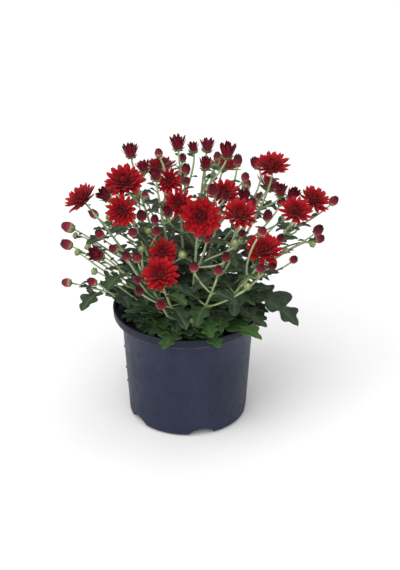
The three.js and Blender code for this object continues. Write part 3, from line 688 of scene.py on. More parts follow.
# Mesh pieces. A sheet is a closed thin solid over a grid of places, for many grids at once.
def sheet_faces(rows, columns):
    index = np.arange(rows * columns).reshape(rows, columns)
    under = index + rows * columns
    a, b, c, d = index[:-1, :-1], index[1:, :-1], index[1:, 1:], index[:-1, 1:]
    top = np.stack([a, b, c, d], -1).reshape(-1, 4)
    low = np.stack([a, d, c, b], -1).reshape(-1, 4) + rows * columns

    def rim(first, second, first_under, second_under):
        return np.stack([first, first_under, second_under, second], -1)

    left = rim(index[:-1, 0], index[1:, 0], under[:-1, 0], under[1:, 0])
    right = rim(index[1:, -1], index[:-1, -1], under[1:, -1], under[:-1, -1])
    end = rim(index[-1, :-1], index[-1, 1:], under[-1, :-1], under[-1, 1:])
    start = rim(index[0, 1:], index[0, :-1], under[0, 1:], under[0, :-1])
    return np.concatenate([top, low, left, right, end, start])


def tube_faces(count, sides):
    """Faces of rings that end at a middle place each. The two middle places follow the rings."""
    index = np.arange(count * sides).reshape(count, sides)
    turned = np.roll(index, -1, axis=1)
    walls = np.stack([index[:-1], turned[:-1], turned[1:], index[1:]], -1).reshape(-1, 4)
    first = np.arange(0, sides, 2)
    second, third = first + 1, (first + 2) % sides
    middle = np.full(len(first), count * sides)
    low = np.stack([index[0, first], middle, index[0, third], index[0, second]], -1)
    high = np.stack([index[-1, first], index[-1, second], index[-1, third], middle + 1], -1)
    return np.concatenate([walls, low, high])


def sheets(grids, thickness):
    """Places of the closed sheets: each grid, and the same grid lowered by its thickness."""
    normal = np.cross(np.gradient(grids, axis=1), np.gradient(grids, axis=2))
    normal = normal / np.maximum(np.linalg.norm(normal, axis=-1, keepdims=True), 1e-9)
    return np.concatenate([grids, grids - normal * thickness[..., None]], axis=1)


class Piece:
    """The mesh of one piece, gathered from blocks of places and faces. MARKS are numbers kept at
    each place for the materials: how far along and across its part it lies, whether it is on the
    under side, how far it is on a vein (in flowers, how deep its layer lies, which sets their
    painted shade), and a tone for the whole part."""

    MARKS = ("along", "across", "under", "vein", "tone")

    def __init__(self):
        self.places = []
        self.faces = []
        self.marks = {name: [] for name in self.MARKS}
        self.finish = []
        self.count = 0

    def add(self, places, faces, finish=0, **marks):
        """Places (n, 3), faces (m, 4) into them, and marks as numbers or rows of n numbers."""
        self.places.append(places)
        self.faces.append(faces + self.count)
        self.finish.append(np.full(len(faces), finish))
        for name in self.MARKS:
            self.marks[name].append(np.broadcast_to(marks.get(name, 0.0), len(places)).astype(float))
        self.count += len(places)

    def add_sheets(self, grids, thickness, finish=0, tone=0.0, across=None, along=None, vein=0.0):
        """Closed sheets over grids (n, rows, columns, 3)."""
        shape = n, rows, columns = grids.shape[:3]
        starts = np.arange(n)[:, None, None] * 2 * rows * columns
        if along is None:
            along = np.linspace(0, 1, rows)[None, :, None]
        if across is None:
            across = np.linspace(-1, 1, columns)[None, None, :]
        tone = np.asarray(tone, float)
        if tone.ndim == 1:
            tone = tone[:, None, None]

        def both(values):
            values = np.broadcast_to(values, shape)
            return np.concatenate([values, values], axis=1).reshape(-1)

        self.add(
            sheets(grids, np.broadcast_to(thickness, shape)).reshape(-1, 3),
            (sheet_faces(rows, columns) + starts).reshape(-1, 4),
            finish,
            along=both(along),
            across=both(across),
            under=np.repeat([0, 1] * n, rows * columns),
            vein=both(vein),
            tone=both(tone),
        )

    def add_rings(self, rings, ends, finish, angles, tone):
        """A closed body of rings (count, sides, 3), with a middle place at each end."""
        count, sides = rings.shape[:2]
        self.add(
            np.concatenate([rings.reshape(-1, 3), ends]),
            tube_faces(count, sides),
            finish,
            along=np.concatenate([np.repeat(np.linspace(0, 1, count), sides), [0, 1]]),
            across=np.concatenate([np.tile(np.cos(angles), count), [0, 0]]),
            tone=tone,
        )

    def add_tube(self, places, radii, finish, sides, ribs=0, tone=0.0, flat=1.0):
        """A closed tube along a line of places."""
        first, second = axes(unit(np.gradient(places, axis=0)))
        angles = np.arange(sides) * 2 * math.pi / sides
        relief = 1 + RIB_RELIEF * np.cos(ribs * angles) if ribs else np.ones(sides)
        radii = np.asarray(radii, float)[:, None] * relief
        rings = (
            places[:, None]
            + (radii * np.cos(angles))[..., None] * first[:, None]
            + (radii * np.sin(angles))[..., None] * second[:, None] * flat
        )
        self.add_rings(rings, places[[0, -1]], finish, angles, tone)

    def add_turned(self, profile, finish, sides, direction, base, tone=0.0):
        """A closed body of revolution: (radius, height) pairs from its lowest place to its highest."""
        radius, height = np.array(profile, float).T
        angles = np.arange(sides) * 2 * math.pi / sides
        rings = np.stack([
            np.outer(radius, np.cos(angles)),
            np.outer(radius, np.sin(angles)),
            np.outer(height, np.ones(sides)),
        ], -1)
        ends = np.array([[0, 0, height[0]], [0, 0, height[-1]]])
        rings, ends = [turned_to(direction, places) + base for places in (rings, ends)]
        self.add_rings(rings, ends, finish, angles, tone)

    def make(self, name, materials, slot, *nodes):
        """The piece as an object that stands for some nodes of the frame."""
        places = np.concatenate(self.places) * MM
        faces = np.concatenate(self.faces).astype(np.int32)
        mesh = bpy.data.meshes.new(name)
        mesh.vertices.add(len(places))
        mesh.vertices.foreach_set("co", places.astype(np.float32).ravel())
        mesh.loops.add(faces.size)
        mesh.loops.foreach_set("vertex_index", faces.ravel())
        mesh.polygons.add(len(faces))
        mesh.polygons.foreach_set("loop_start", np.arange(0, faces.size, 4, dtype=np.int32))
        mesh.polygons.foreach_set("material_index", np.concatenate(self.finish).astype(np.int32))
        for mark in self.MARKS:
            values = np.concatenate(self.marks[mark]).astype(np.float32)
            mesh.attributes.new(mark, "FLOAT", "POINT").data.foreach_set("value", values)
        for material in materials:
            mesh.materials.append(material)
        mesh.update(calc_edges=True)
        mesh.validate()
        mesh.shade_smooth()
        mesh.set_sharp_from_angle(angle=math.radians(PLANT_SHARP))
        return place_piece(bpy.data.objects.new(name, mesh), slot, *nodes)


def place_piece(piece, slot, *nodes):
    bpy.context.scene.collection.objects.link(piece)
    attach(piece, "root")
    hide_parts(*nodes)
    return piece


# Petals, buds and cups
def petal_grids(
    layer, phase, radius, seed, rows, columns,
    cup=0.3, loose=1.0, claw=0.42, tip=0.09, shoulder=0.58, broad=1.0,
):
    """One layer of petals as grids of places on their upper faces."""
    count, start, height, lift, curl, length, width = layer
    s = rows[None, :, None]
    v = np.linspace(-1, 1, columns)[None, None, :]
    draws = [chances(seed + 11.3 * k, count)[:, None, None] for k in range(len(PETAL_DRAWS))]
    longer, wider, higher, curlier, turned, bent = [
        size * loose * (share - 0.5) for size, share in zip(PETAL_DRAWS, draws)
    ]
    length = length * radius * (1 + longer)
    width = width * broad * radius * (1 + wider)
    turn = (np.arange(count)[:, None, None] + phase) * 2 * math.pi / count + turned / count

    fine = np.linspace(0, 1, PETAL_STEPS + 1)
    angle = np.radians((lift + higher)[:, 0] + (curl * (1 + curlier))[:, 0] * fine**1.6)

    def at_rows(values):
        return np.stack([np.interp(rows, fine, line) for line in values])[:, :, None]

    def along(way):
        steps = np.cumsum(way(angle[:, 1:]), 1) / PETAL_STEPS
        return length * at_rows(np.concatenate([np.zeros((count, 1)), steps], 1))

    spread = claw + (1 - claw) * ease(0, 0.5, s)
    past_shoulder = np.clip(s - shoulder, 0, 1) / (1.005 - shoulder)
    narrow = np.clip(1 - past_shoulder**2.4, 0, 1) ** mix(*PETAL_POINT, draws[0])
    half = width / 2 * spread * np.maximum(narrow, tip)
    aside = half * v + bent * length * s * s
    dish = half * cup * v * v * (1 - 0.5 * s) + 0.06 * half * np.cos(v * 3 * math.pi)
    theta = at_rows(angle)
    rho = start * radius + along(np.cos) - np.sin(theta) * dish
    rise = height + along(np.sin) + np.cos(theta) * dish
    x = rho * np.cos(turn) - aside * np.sin(turn)
    y = rho * np.sin(turn) + aside * np.cos(turn)
    return np.stack([x, y, rise], -1)


def edge_thickness(thickness, rows, columns):
    """Thick along the middle of a sheet and thin at its edges."""
    v = np.linspace(-1, 1, columns)[None, None, :]
    s = np.linspace(0, 1, rows)[None, :, None]
    return thickness * (1 - 0.6 * np.abs(v) ** 3) * (1 - 0.5 * s**2)


def add_flower(piece, tip, seed):
    """An open bloom, or a half open flower with upright petals, on the cup that carries it."""
    radius, direction = tip["width"] / 2, tip["direction"]
    base = tip["middle"] + direction * (GAP - SEATS[tip["kind"]](tip["width"]) + CUP_HEIGHT)
    if tip["kind"] == "bloom":
        layers, core, core_scale = BLOOM_LAYERS, BLOOM_CORE, 1
        form = {"broad": np.interp(tip["width"], BLOOM_WIDTHS, PETAL_BREADTHS)}
    else:
        layers, core, core_scale, form = HALF_LAYERS, HALF_CORE, radius, HALF_FORM
    core = [(r * radius, z * core_scale) for r, z in core]
    piece.add_turned(core, 1, CORE_SIDES, direction, base, tone=0.5)
    for k, layer in enumerate(layers):
        rows, columns = (PETAL_ROWS, 5) if k < len(layers) / 2 else (INNER_ROWS, 4)
        phase = 0.5 * (k % 2) + 0.23 * k
        grids = petal_grids(layer, phase, radius, seed + 3.1 * k, rows, columns, **form)
        piece.add_sheets(
            turned_to(direction, grids) + base,
            edge_thickness(PETAL_THICKNESS, len(rows), columns),
            tone=chances(seed + 5.7 * k, layer[0]) * 0.98,
            along=rows[None, :, None],
            # The vein mark holds how deep the layer lies, which sets the painted shade of the inner
            # layers.
            vein=k / (len(layers) - 1),
        )


def shell_grids(shell, egg, flare, seed):
    """Scales that hug an egg, which has a radius, half its height and the height of its middle.
    One edge of each lies over its neighbour's."""
    count, low, high, overlap, rows, columns, lap, more_flare = shell
    radius, tall, middle_height = egg
    s = np.linspace(0, 1, rows)[None, :, None]
    v = np.linspace(-1, 1, columns)[None, None, :]
    high = high + 8 * (chances(seed + 2.1, count)[:, None, None] - 0.5)
    polar = np.radians(mix(low, high, s))
    turn = (np.arange(count)[:, None, None] + 0.37 * seed % 1) * 2 * math.pi / count
    narrow = np.sqrt(np.clip(1 - (np.clip(s - 0.45, 0, 1) / 0.58) ** 2, 0, 1))
    angle = turn + v * np.maximum(math.pi / count * overlap * narrow, 0.06)
    lifted = lap * (1 + 0.9 * v) + 0.25 * (1 - v * v) + flare * more_flare * s**3
    rho = (radius + lifted) * np.sin(polar) * (1 - BUD_TAPER * np.maximum(np.cos(polar), 0))
    height = middle_height + (tall + lifted) * np.cos(polar)
    return np.stack([rho * np.cos(angle), rho * np.sin(angle), height], -1)


def add_shells(piece, shells, egg, tip, finish, seed, flare=1.0, youth=0.0):
    for k, shell in enumerate(shells):
        grids = turned_to(tip["direction"], shell_grids(shell, egg, flare, seed + k)) + tip["end"]
        thickness = edge_thickness(SCALE_THICKNESS, *grids.shape[1:3])
        tones = chances(seed + k + 9.2, len(grids))
        piece.add_sheets(grids, thickness, finish, tone=tones, vein=youth)


def add_egg(piece, radius, tall, middle_height, tip, finish, tone):
    angles = np.linspace(math.pi, 0, 9)
    profile = [(max(radius * math.sin(a), 0.05), middle_height + tall * math.cos(a)) for a in angles]
    piece.add_turned(profile, finish, BUD_SIDES, tip["direction"], tip["end"], tone=tone)


def add_bud(petals, green, tip, seed):
    """A closed bud: petals wrapped round an egg shape, in a small cup of green scales. A younger
    one has more of its pale claws in sight."""
    radius = BUD_RADIUS * tip["width"] / 2
    tall = draw(BUD_TALL, seed + 0.3) * radius
    youth = chance(seed + 0.9)
    add_egg(petals, radius * 0.8, tall * 0.86, tall, tip, 1, 0.3)
    egg = (radius * 0.9, tall * 0.92, tall)
    add_shells(petals, BUD_PETALS, egg, tip, 0, seed, mix(*BUD_FLARE, youth), youth)
    add_shells(green, BUD_SCALES, (radius * 0.92, tall * 0.95, tall), tip, 1, seed + 2)


def add_green_bud(green, tip, seed):
    """A young bud: a flat ball of green scales with a pale middle."""
    radius = tip["width"] / 2
    tall, middle_height = GREEN_TALL * radius, GREEN_MIDDLE * radius
    add_egg(green, radius * 0.84, tall * 0.84, middle_height, tip, 2, 0.4)
    add_shells(green, GREEN_SCALES, (radius * 0.88, tall * 0.9, middle_height), tip, 1, seed)


def add_cup(green, tip, seed):
    """The green cup under a flower, with two rows of scales."""
    radius, direction, base = tip["width"] / 2, tip["direction"], tip["end"]
    rim, height = radius * CUP_RIMS[tip["kind"]], CUP_HEIGHT
    profile = [
        (0.05, -1), (TIP_RADIUS, -0.8), (TIP_RADIUS * 1.3, 0), (rim * 0.62, height * 0.3),
        (rim * 0.88, height * 0.6), (rim, height), (rim * 0.5, height + 0.1), (0.05, height + 0.15),
    ]
    green.add_turned(profile, 1, CORE_SIDES, direction, base, tone=0.5)
    scale, share = CUP_SCALE / radius, rim / radius
    layers = [
        (9, 0.75 * share, height * 0.55, 32, CUP_CURLS[tip["kind"]], scale, 0.55 * scale),
        (7, 0.5 * share, height * 0.2, 12, 30, scale * 0.9, 0.5 * scale),
    ]
    form = {"cup": 0.35, "loose": 0.8, "tip": 0.1}
    for k, layer in enumerate(layers):
        grids = petal_grids(layer, 0.4 * k, radius, seed + k, INNER_ROWS, 4, **form)
        thickness = edge_thickness(CUP_THICKNESS, len(INNER_ROWS), 4)
        tones = chances(seed + k, layer[0])
        green.add_sheets(turned_to(direction, grids) + base, thickness, 1, tone=tones)


# Stalks and leaves
def add_stalk(green, curve, radii, seed, before):
    """A ribbed stalk along a curve, a little thicker at its start, with places before it."""
    t = np.linspace(0, 1, max(int(curve.length() / STALK_STEP), FEWEST_STALK_RINGS))
    places = np.concatenate([before, curve.point(t)])
    t = np.concatenate([np.zeros(len(before)), t])
    green.add_tube(places, mix(*radii, t), 0, sides=8, ribs=4, tone=chance(seed))


def added_leaf(kind, base, turn, i, seed, scale=1.0):
    *limits, steps = ADDED_LEAVES[kind]
    length, lift, droop = [draw(pair, seed + step * i) for pair, step in zip(limits, steps)]
    return {
        "base": base,
        "turn": turn,
        "lift": lift,
        "length": length * scale,
        "droop": droop,
        "seed": seed + steps[-1] * i,
    }


def add_bracts(piece, curve, radii, habit, seed):
    """Small plain leaves on the upper part of a stalk."""
    count, low, high = habit
    for i in range(count):
        share = mix(low, high, (i + chance(seed + 2 * i)) / count)
        turn = 360 * chance(seed + 4.1 * i + 1)
        base = curve.point(share) + facing(turn, 0) * mix(*radii, share) * BRACT_SUNK
        add_leaf(piece, added_leaf("bract", base, turn, i, seed), PLAIN_SHAPE, stalk=False)


def hides_rim(leaf):
    """Whether a leaf hangs over the open part of the rim."""
    tip = leaf_places(leaf, 1, 0, 0)
    in_turn = OPEN_RIM_TURNS[0] < turn_of(tip) < OPEN_RIM_TURNS[1]
    in_height = OPEN_RIM_HEIGHTS[0] < tip[2] < OPEN_RIM_HEIGHTS[1]
    return in_turn and in_height and math.hypot(tip[0], tip[1]) > OPEN_RIM_RADIUS


def meets_pot(leaf, shape):
    """Whether a leaf would cut through the wall or the rim of the pot."""
    x, y = shape[0][:, -1], shape[1][:, -1]
    places = np.concatenate([leaf_places(leaf, x, y, 0), leaf_places(leaf, x, -y, 0)])
    away = np.hypot(places[:, 0], places[:, 1])
    room = np.where(places[:, 2] > RIM_LOW + WALL, RIM_ROOM, WALL_ROOM)
    return bool(np.any((away > room) & (places[:, 2] < OVER_RIM)))


def add_fitting_leaf(piece, leaf):
    """A leaf that is made smaller, or left out, where it would cut the pot or hide its open rim."""
    for size in FITTING_SIZES:
        fitted = dict(leaf, length=leaf["length"] * size)
        if not hides_rim(fitted) and not meets_pot(fitted, INNER_SHAPE):
            add_leaf(piece, fitted, INNER_SHAPE)
            return


def add_inner_leaves(piece, curve, seed):
    """Leaves of a middle size between the levels of the large ones. Stems that stand at the front
    have none towards the front, so that their stalks show."""
    in_front = curve.point(0)[1] < FRONT_STEM_Y
    for i in range(INNER_LEAVES):
        place = (i + chance(seed + 2.7 * i)) / INNER_LEAVES
        share = mix(*INNER_SHARES, place)
        turn = i * GOLDEN_TURN + 60 * chance(seed + 1.3 * i)
        out = facing(turn, 0)
        if in_front and abs(turn_of(out)) < FRONT_TURN:
            continue
        base = curve.point(share) + out * mix(LEADER_RADIUS, TIP_RADIUS, share) * SUNK
        scale = mix(*INNER_LENGTH, place)
        add_fitting_leaf(piece, added_leaf("inner", base, turn, i, seed, scale))


def add_low_leaves(piece, curve, seed):
    """Leaves close over the soil, inside the rim, with more of them where the rim is open."""
    open_side = OPEN_SIDE[0] < turn_of(curve.point(0)) < OPEN_SIDE[1]
    count = LOW_LEAVES * (OPEN_SIDE_TIMES if open_side else 1)
    for i in range(count):
        turn = 360 * (i + 0.8 * chance(seed + 1.7 * i)) / count
        share = LOW_SHARE * chance(seed + 2.9 * i)
        base = curve.point(share) + facing(turn, 0) * LEADER_RADIUS * SUNK
        add_fitting_leaf(piece, added_leaf("low", base, turn, i, seed))


def add_leaf(piece, leaf, shape, stalk=True):
    """A blade with its stalk and midrib."""
    x, y, vein, out = shape
    seed, length = leaf["seed"], leaf["length"]
    tone = chance(seed + 4)
    waves = 2 + 3 * chance(seed + 3)
    bend = BLADE_BEND * (chance(seed + 8) - 0.5)
    sides = []
    for side in (1, -1):
        grow = 1 + 0.1 * (chance(seed + 9 * side) - 0.5)
        puff = (1 - vein) * np.sin(out * math.pi * 0.9) * length * BLADE_PUFF
        wave = BLADE_WAVE * length * out**2 * np.sin(x * waves * math.pi + seed + side)
        z = puff + wave - VEIN_DEPTH * vein * out
        sides.append(leaf_places(leaf, x, side * y * grow + bend * x * x, z))

    def whole(left, right):
        return np.concatenate([left[:, ::-1], right[:, 1:]], axis=1)

    grid = whole(*sides)[:, ::-1]
    middle = grid.shape[1] // 2
    across = np.abs(np.arange(grid.shape[1]) - middle) / middle
    midrib = np.exp(-((across * 3) ** 2))
    piece.add_sheets(
        grid[None],
        BLADE_THICKNESS,
        tone=tone,
        across=across[None, None, :],
        along=whole(x, x)[None],
        vein=np.maximum(whole(vein, vein) * 0.7, midrib)[None],
    )
    if stalk:
        t = RIB_PLACES
        base_radii = mix(*RIB_RADII[:2], t / RIB_STALK)
        blade_radii = mix(*RIB_RADII[1:], (t - RIB_STALK) / (1 - RIB_STALK))
        radii = np.where(t <= RIB_STALK, base_radii, blade_radii)
        rib = leaf_places(leaf, t, bend * t * t, -VEIN_DEPTH)
        piece.add_tube(rib, radii, 1, sides=6, tone=tone, flat=0.9)


# Materials
def rgb(*values):
    """A colour from its display values, 0 to 255."""
    shares = [value / 255 for value in values]
    return tuple(s / 12.92 if s <= 0.04045 else ((s + 0.055) / 1.055) ** 2.4 for s in shares)


class Finish:
    """A material made of nodes. Each colour is painted over the tint so far, and each bump is added
    to the relief so far. Sizes and depths are in millimetres."""

    def __init__(self, name, **sockets):
        self.material = bpy.data.materials.new(name)
        self.material.use_nodes = True
        self.tree = self.material.node_tree
        self.shader = next(n for n in self.tree.nodes if n.type == "BSDF_PRINCIPLED")
        for socket, value in sockets.items():
            self.shader.inputs[socket.replace("_", " ")].default_value = value
        self.place = self.node("ShaderNodeTexCoord").outputs["Object"]
        self.tint = None
        self.relief = None

    def node(self, kind, *values, **settings):
        """A node with its settings and the values of its first sockets."""
        node = self.tree.nodes.new(kind)
        for name, value in settings.items():
            setattr(node, name, value)
        for socket, value in zip(node.inputs, values):
            self.join(value, socket)
        return node

    def join(self, value, socket):
        if isinstance(value, bpy.types.NodeSocket):
            self.tree.links.new(value, socket)
        elif isinstance(value, tuple) and socket.type == "RGBA":
            socket.default_value = (*value, 1)
        else:
            socket.default_value = value

    def mark(self, name):
        return self.node("ShaderNodeAttribute", attribute_name=name).outputs["Fac"]

    def texture(self, kind, size, place, **settings):
        node = self.node(kind, **settings)
        self.join(place, node.inputs["Vector"])
        node.inputs["Scale"].default_value = 1 / (size * MM)
        return node

    def noise(self, size, detail=3, roughness=0.55, stretch=None):
        place = self.place
        if stretch:
            mapping = self.node("ShaderNodeMapping", place)
            mapping.inputs["Scale"].default_value = stretch
            place = mapping.outputs["Vector"]
        node = self.texture("ShaderNodeTexNoise", size, place)
        node.inputs["Detail"].default_value = detail
        node.inputs["Roughness"].default_value = roughness
        return node.outputs["Fac"]

    def cells(self, size, feature="F1"):
        node = self.texture("ShaderNodeTexVoronoi", size, self.place, feature=feature)
        return node.outputs["Distance"]

    def height(self, axis):
        """How far a place lies along an axis of the object's frame, in metres."""
        return self.node("ShaderNodeSeparateXYZ", self.place).outputs[axis]

    def maths(self, operation, *values):
        return self.node("ShaderNodeMath", *values, operation=operation).outputs[0]

    def times(self, first, second):
        return self.maths("MULTIPLY", first, second)

    def positive(self, value):
        return self.maths("ABSOLUTE", value)

    def ribs(self, across, count):
        """Ribs that run along a part, by how far across it a place lies."""
        return self.positive(self.maths("SINE", self.times(across, count)))

    def between(self, value, low, high, to_low=0.0, to_high=1.0):
        """How far a value has gone from low to high, as a share or on another scale."""
        values = (value, low, high, to_low, to_high)
        return self.node("ShaderNodeMapRange", *values, clamp=True).outputs[0]

    def blend(self, share, first, second):
        node = self.node("ShaderNodeMix", share, data_type="RGBA")
        self.join(first, node.inputs[6])
        self.join(second, node.inputs[7])
        return node.outputs[2]

    def patched(self, noise, first, second):
        return self.blend(self.between(noise, 0.35, 0.65), first, second)

    def paint(self, share, colour, strength=1.0):
        if strength < 1:
            share = self.times(share, strength)
        self.tint = self.blend(share, self.tint, colour)

    def rough(self, noise, low, high):
        self.join(self.between(noise, 0.3, 0.7, low, high), self.shader.inputs["Roughness"])

    def bump(self, height, depth):
        node = self.node("ShaderNodeBump")
        node.inputs["Strength"].default_value = 1.0
        node.inputs["Distance"].default_value = depth * MM
        self.join(height, node.inputs["Height"])
        if self.relief is not None:
            self.join(self.relief, node.inputs["Normal"])
        self.relief = node.outputs["Normal"]

    def done(self):
        self.join(self.tint, self.shader.inputs["Base Color"])
        self.join(self.relief, self.shader.inputs["Normal"])
        return self.material


def petal_finish(name, base, face, tip, shade, reverse, gold, eye):
    """Velvety petals with fine grooves along them: darker on the inner layers, which is painted shade,
    and in the open blooms brighter outward, partly painted light.
    """
    f = Finish(name, Sheen_Weight=0.06, Sheen_Roughness=0.4, Specular_IOR_Level=0.25)
    along, tone, depth = f.mark("along"), f.mark("tone"), f.mark("vein")
    grooves = f.ribs(f.mark("across"), 9)
    f.tint = base
    # From base to tip. In the open blooms this is partly the petals' own colour and partly painted light:
    # painted shade at the bases, where the petals overlap, and painted light on the tips. The half open
    # flowers keep their own pale base and dark tips.
    f.paint(f.between(along, 0.05, 0.55), face)
    f.paint(f.between(along, 0.6, 1), tip, 0.8)
    # Painted shade: the inner layers, deep in the flower, are painted darker.
    f.paint(f.between(depth, 0.25, 1), shade, 0.75)
    streak = f.times(f.between(along, 0.5, 0.1), f.between(tone, 0.6, 1))
    f.paint(f.times(streak, grooves), gold, 0.55)
    f.paint(f.mark("under"), reverse, 0.7)
    f.paint(f.between(f.noise(2.6, 4), 0.3, 0.7), shade, 0.3)
    f.paint(f.between(tone, 0.35, 0), shade, 0.4)
    f.paint(f.between(tone, 0.3, 1), face, 0.35)
    # The innermost layer takes the eye colour: a gold eye in the open blooms, and in the half open
    # flowers the shade colour, which is more painted shade.
    f.paint(f.between(depth, 0.9, 1), eye, 0.5)
    f.paint(grooves, tip, 0.12)
    f.rough(f.noise(1.2), 0.5, 0.72)
    f.bump(grooves, 0.16)
    f.bump(f.noise(0.5), 0.06)
    return f.done()


def core_finish(name, dark, light):
    f = Finish(name)
    f.tint = f.patched(f.noise(1.5, 4), dark, light)
    f.rough(f.noise(1), 0.55, 0.8)
    f.bump(f.cells(1.1), 0.4)
    return f.done()


def leaf_finish(name):
    """Leaves: dark and a little bluish, with pale veins and a grey underside, and painted light that
    makes leaves towards the front a lighter green.
    """
    f = Finish(name, Specular_IOR_Level=0.5)
    vein, tone, patches = f.mark("vein"), f.mark("tone"), f.noise(16, 4)
    # Painted light: the lighter green painted on leaves towards the front, and the brighter green on
    # those low at the front, stand for light falling on them.
    lit_front = f.between(f.height("Y"), -0.03, -0.1)
    low = f.times(f.between(f.height("Z"), 0.2, 0.16), lit_front)
    young = f.patched(patches, rgb(38, 68, 27), rgb(54, 86, 36))
    lit_low_green = f.patched(patches, rgb(48, 92, 26), rgb(66, 112, 38))
    f.tint = f.patched(patches, rgb(19, 32, 25), rgb(47, 67, 47))
    f.paint(f.times(f.between(tone, 0.25, 0.8), lit_front), young)
    f.paint(f.times(low, f.between(tone, 0.3, 0.7, 0.1, 0.85)), lit_low_green)
    f.paint(f.between(vein, 0.35, 1), rgb(96, 122, 76), 0.45)
    mesh = f.between(f.cells(2.4, "DISTANCE_TO_EDGE"), 0, 0.12, 1, 0)
    f.paint(mesh, rgb(88, 112, 70), 0.2)
    f.paint(f.mark("under"), rgb(76, 94, 70), 0.6)
    f.paint(f.between(f.noise(3, 6, 0.7), 0.62, 0.75), rgb(30, 42, 34), 0.4)
    f.rough(f.noise(5, 4), 0.36, 0.62)
    f.bump(f.times(mesh, -1), 0.25)
    f.bump(vein, -0.5)
    f.bump(f.noise(1.2, 4), 0.18)
    return f.done()


def stalk_finish(name):
    """Ribbed green stalks, paler towards their tips, with a little red in patches, more on some stalks
    than others.
    """
    f = Finish(name, Specular_IOR_Level=0.4)
    patches, fibres = f.noise(9, 4), f.noise(0.8, stretch=(1, 1, 0.08))
    high = f.patched(patches, rgb(162, 178, 134), rgb(186, 198, 158))
    f.tint = f.patched(patches, rgb(124, 146, 94), rgb(146, 166, 114))
    f.paint(f.between(f.mark("along"), 0.1, 0.9), high)
    f.paint(f.times(f.between(f.noise(14), 0.58, 0.75), f.mark("tone")), rgb(120, 84, 70), 0.4)
    f.paint(f.between(fibres, 0.35, 0.65), rgb(84, 110, 64), 0.3)
    f.rough(fibres, 0.45, 0.65)
    f.bump(fibres, 0.15)
    return f.done()


def scale_finish(name):
    """Green scales of cups and buds, with pale thin edges."""
    f = Finish(name, Specular_IOR_Level=0.35)
    f.tint = f.patched(f.noise(2.5), rgb(96, 118, 64), rgb(122, 140, 84))
    f.paint(f.between(f.positive(f.mark("across")), 0.55, 1), rgb(166, 170, 128), 0.6)
    f.paint(f.between(f.mark("along"), 0.75, 1), rgb(150, 120, 96), 0.45)
    f.paint(f.mark("tone"), rgb(140, 156, 104), 0.3)
    f.rough(f.noise(1), 0.5, 0.7)
    f.bump(f.noise(0.6, 4), 0.12)
    return f.done()


def bud_finish(name):
    """Closed petals: cream green below, pink in the middle and maroon at the top."""
    f = Finish(name, Sheen_Weight=0.02, Sheen_Roughness=0.4, Specular_IOR_Level=0.2)
    along = f.maths("SUBTRACT", f.mark("along"), f.times(f.mark("vein"), 0.2))
    ribs = f.ribs(f.mark("across"), 8)
    f.tint = rgb(186, 192, 146)
    f.paint(f.between(along, 0.14, 0.32), rgb(152, 32, 60))
    f.paint(f.between(along, 0.34, 0.56), rgb(108, 6, 30))
    f.paint(f.between(along, 0.6, 0.86), rgb(50, 2, 14))
    f.paint(f.times(ribs, f.between(along, 0.55, 0.25, 0.03, 0.22)), rgb(190, 124, 130))
    f.paint(f.mark("tone"), rgb(80, 6, 22), 0.3)
    f.rough(f.noise(1), 0.5, 0.7)
    f.bump(ribs, 0.15)
    f.bump(f.noise(0.5), 0.06)
    return f.done()


def pot_finish(name):
    """Matte moulded plastic, blue grey, with painted shade on the rim band, painted highlights on the
    upper wall towards the sides and along the rim's lower edge, and flow marks, dust and scratches.
    """
    f = Finish(name, Specular_IOR_Level=0.22)
    z = f.height("Z")
    flow = f.noise(26, 5, 0.6, stretch=(1, 1, 0.5))
    # Painted shade: the rim band, from RIM_LOW up, is painted a darker blue grey than the wall.
    rim = f.patched(flow, rgb(19, 22, 37), rgb(25, 28, 44))
    f.tint = f.patched(flow, rgb(27, 32, 53), rgb(34, 39, 61))
    f.paint(f.between(z, (RIM_LOW - 1) * MM, (RIM_LOW + 1) * MM), rim)
    # Painted highlight: a lighter band on the upper wall towards the left and right sides, just under the
    # rim.
    aside = f.between(f.positive(f.height("X")), 0.02, 0.08)
    below = f.between(z, (RIM_LOW - 0.5) * MM, (RIM_LOW - 2) * MM)
    f.paint(f.times(f.times(f.between(z, 0.09, RIM_LOW * MM), aside), below), rgb(58, 63, 86), 0.55)
    # Painted highlight: a broken light line along the rim's lower edge.
    from_edge = f.positive(f.maths("SUBTRACT", z, RIM_LOW * MM))
    edge_highlight = f.times(f.between(from_edge, 0.0012, 0.0003), f.between(f.noise(18, 4), 0.45, 0.6))
    f.paint(edge_highlight, rgb(112, 116, 132), 0.6)
    f.paint(f.between(f.noise(60, 6, 0.7), 0.5, 0.75), rgb(54, 58, 76), 0.22)
    scratches = f.between(f.noise(1.6, 2, 0.5, stretch=(1, 1, 0.06)), 0.66, 0.72)
    f.paint(scratches, rgb(78, 82, 98), 0.2)
    f.paint(f.between(f.noise(1.4, 2), 0.72, 0.8), rgb(104, 102, 100), 0.3)
    f.rough(f.noise(12, 5), 0.4, 0.58)
    f.bump(f.noise(0.9), 0.05)
    f.bump(flow, 0.5)
    f.bump(scratches, -0.08)
    return f.done()


def soil_finish(name):
    f = Finish(name, Specular_IOR_Level=0.3)
    clods = f.noise(5, 6, 0.7)
    f.tint = f.patched(clods, rgb(26, 20, 16), rgb(58, 45, 34))
    f.paint(f.between(f.noise(2.2, stretch=(1, 0.25, 1)), 0.64, 0.72), rgb(104, 82, 58), 0.5)
    f.rough(clods, 0.8, 0.98)
    f.bump(f.noise(1.4, 5, 0.7), 0.9)
    return f.done()


def floor_finish(name):
    f = Finish(name, Specular_IOR_Level=0.1)
    f.tint = f.blend(f.between(f.noise(200), 0.3, 0.7), rgb(246, 246, 246), rgb(250, 250, 250))
    f.rough(f.noise(40), 0.85, 0.95)
    f.bump(f.noise(2), 0.02)
    return f.done()


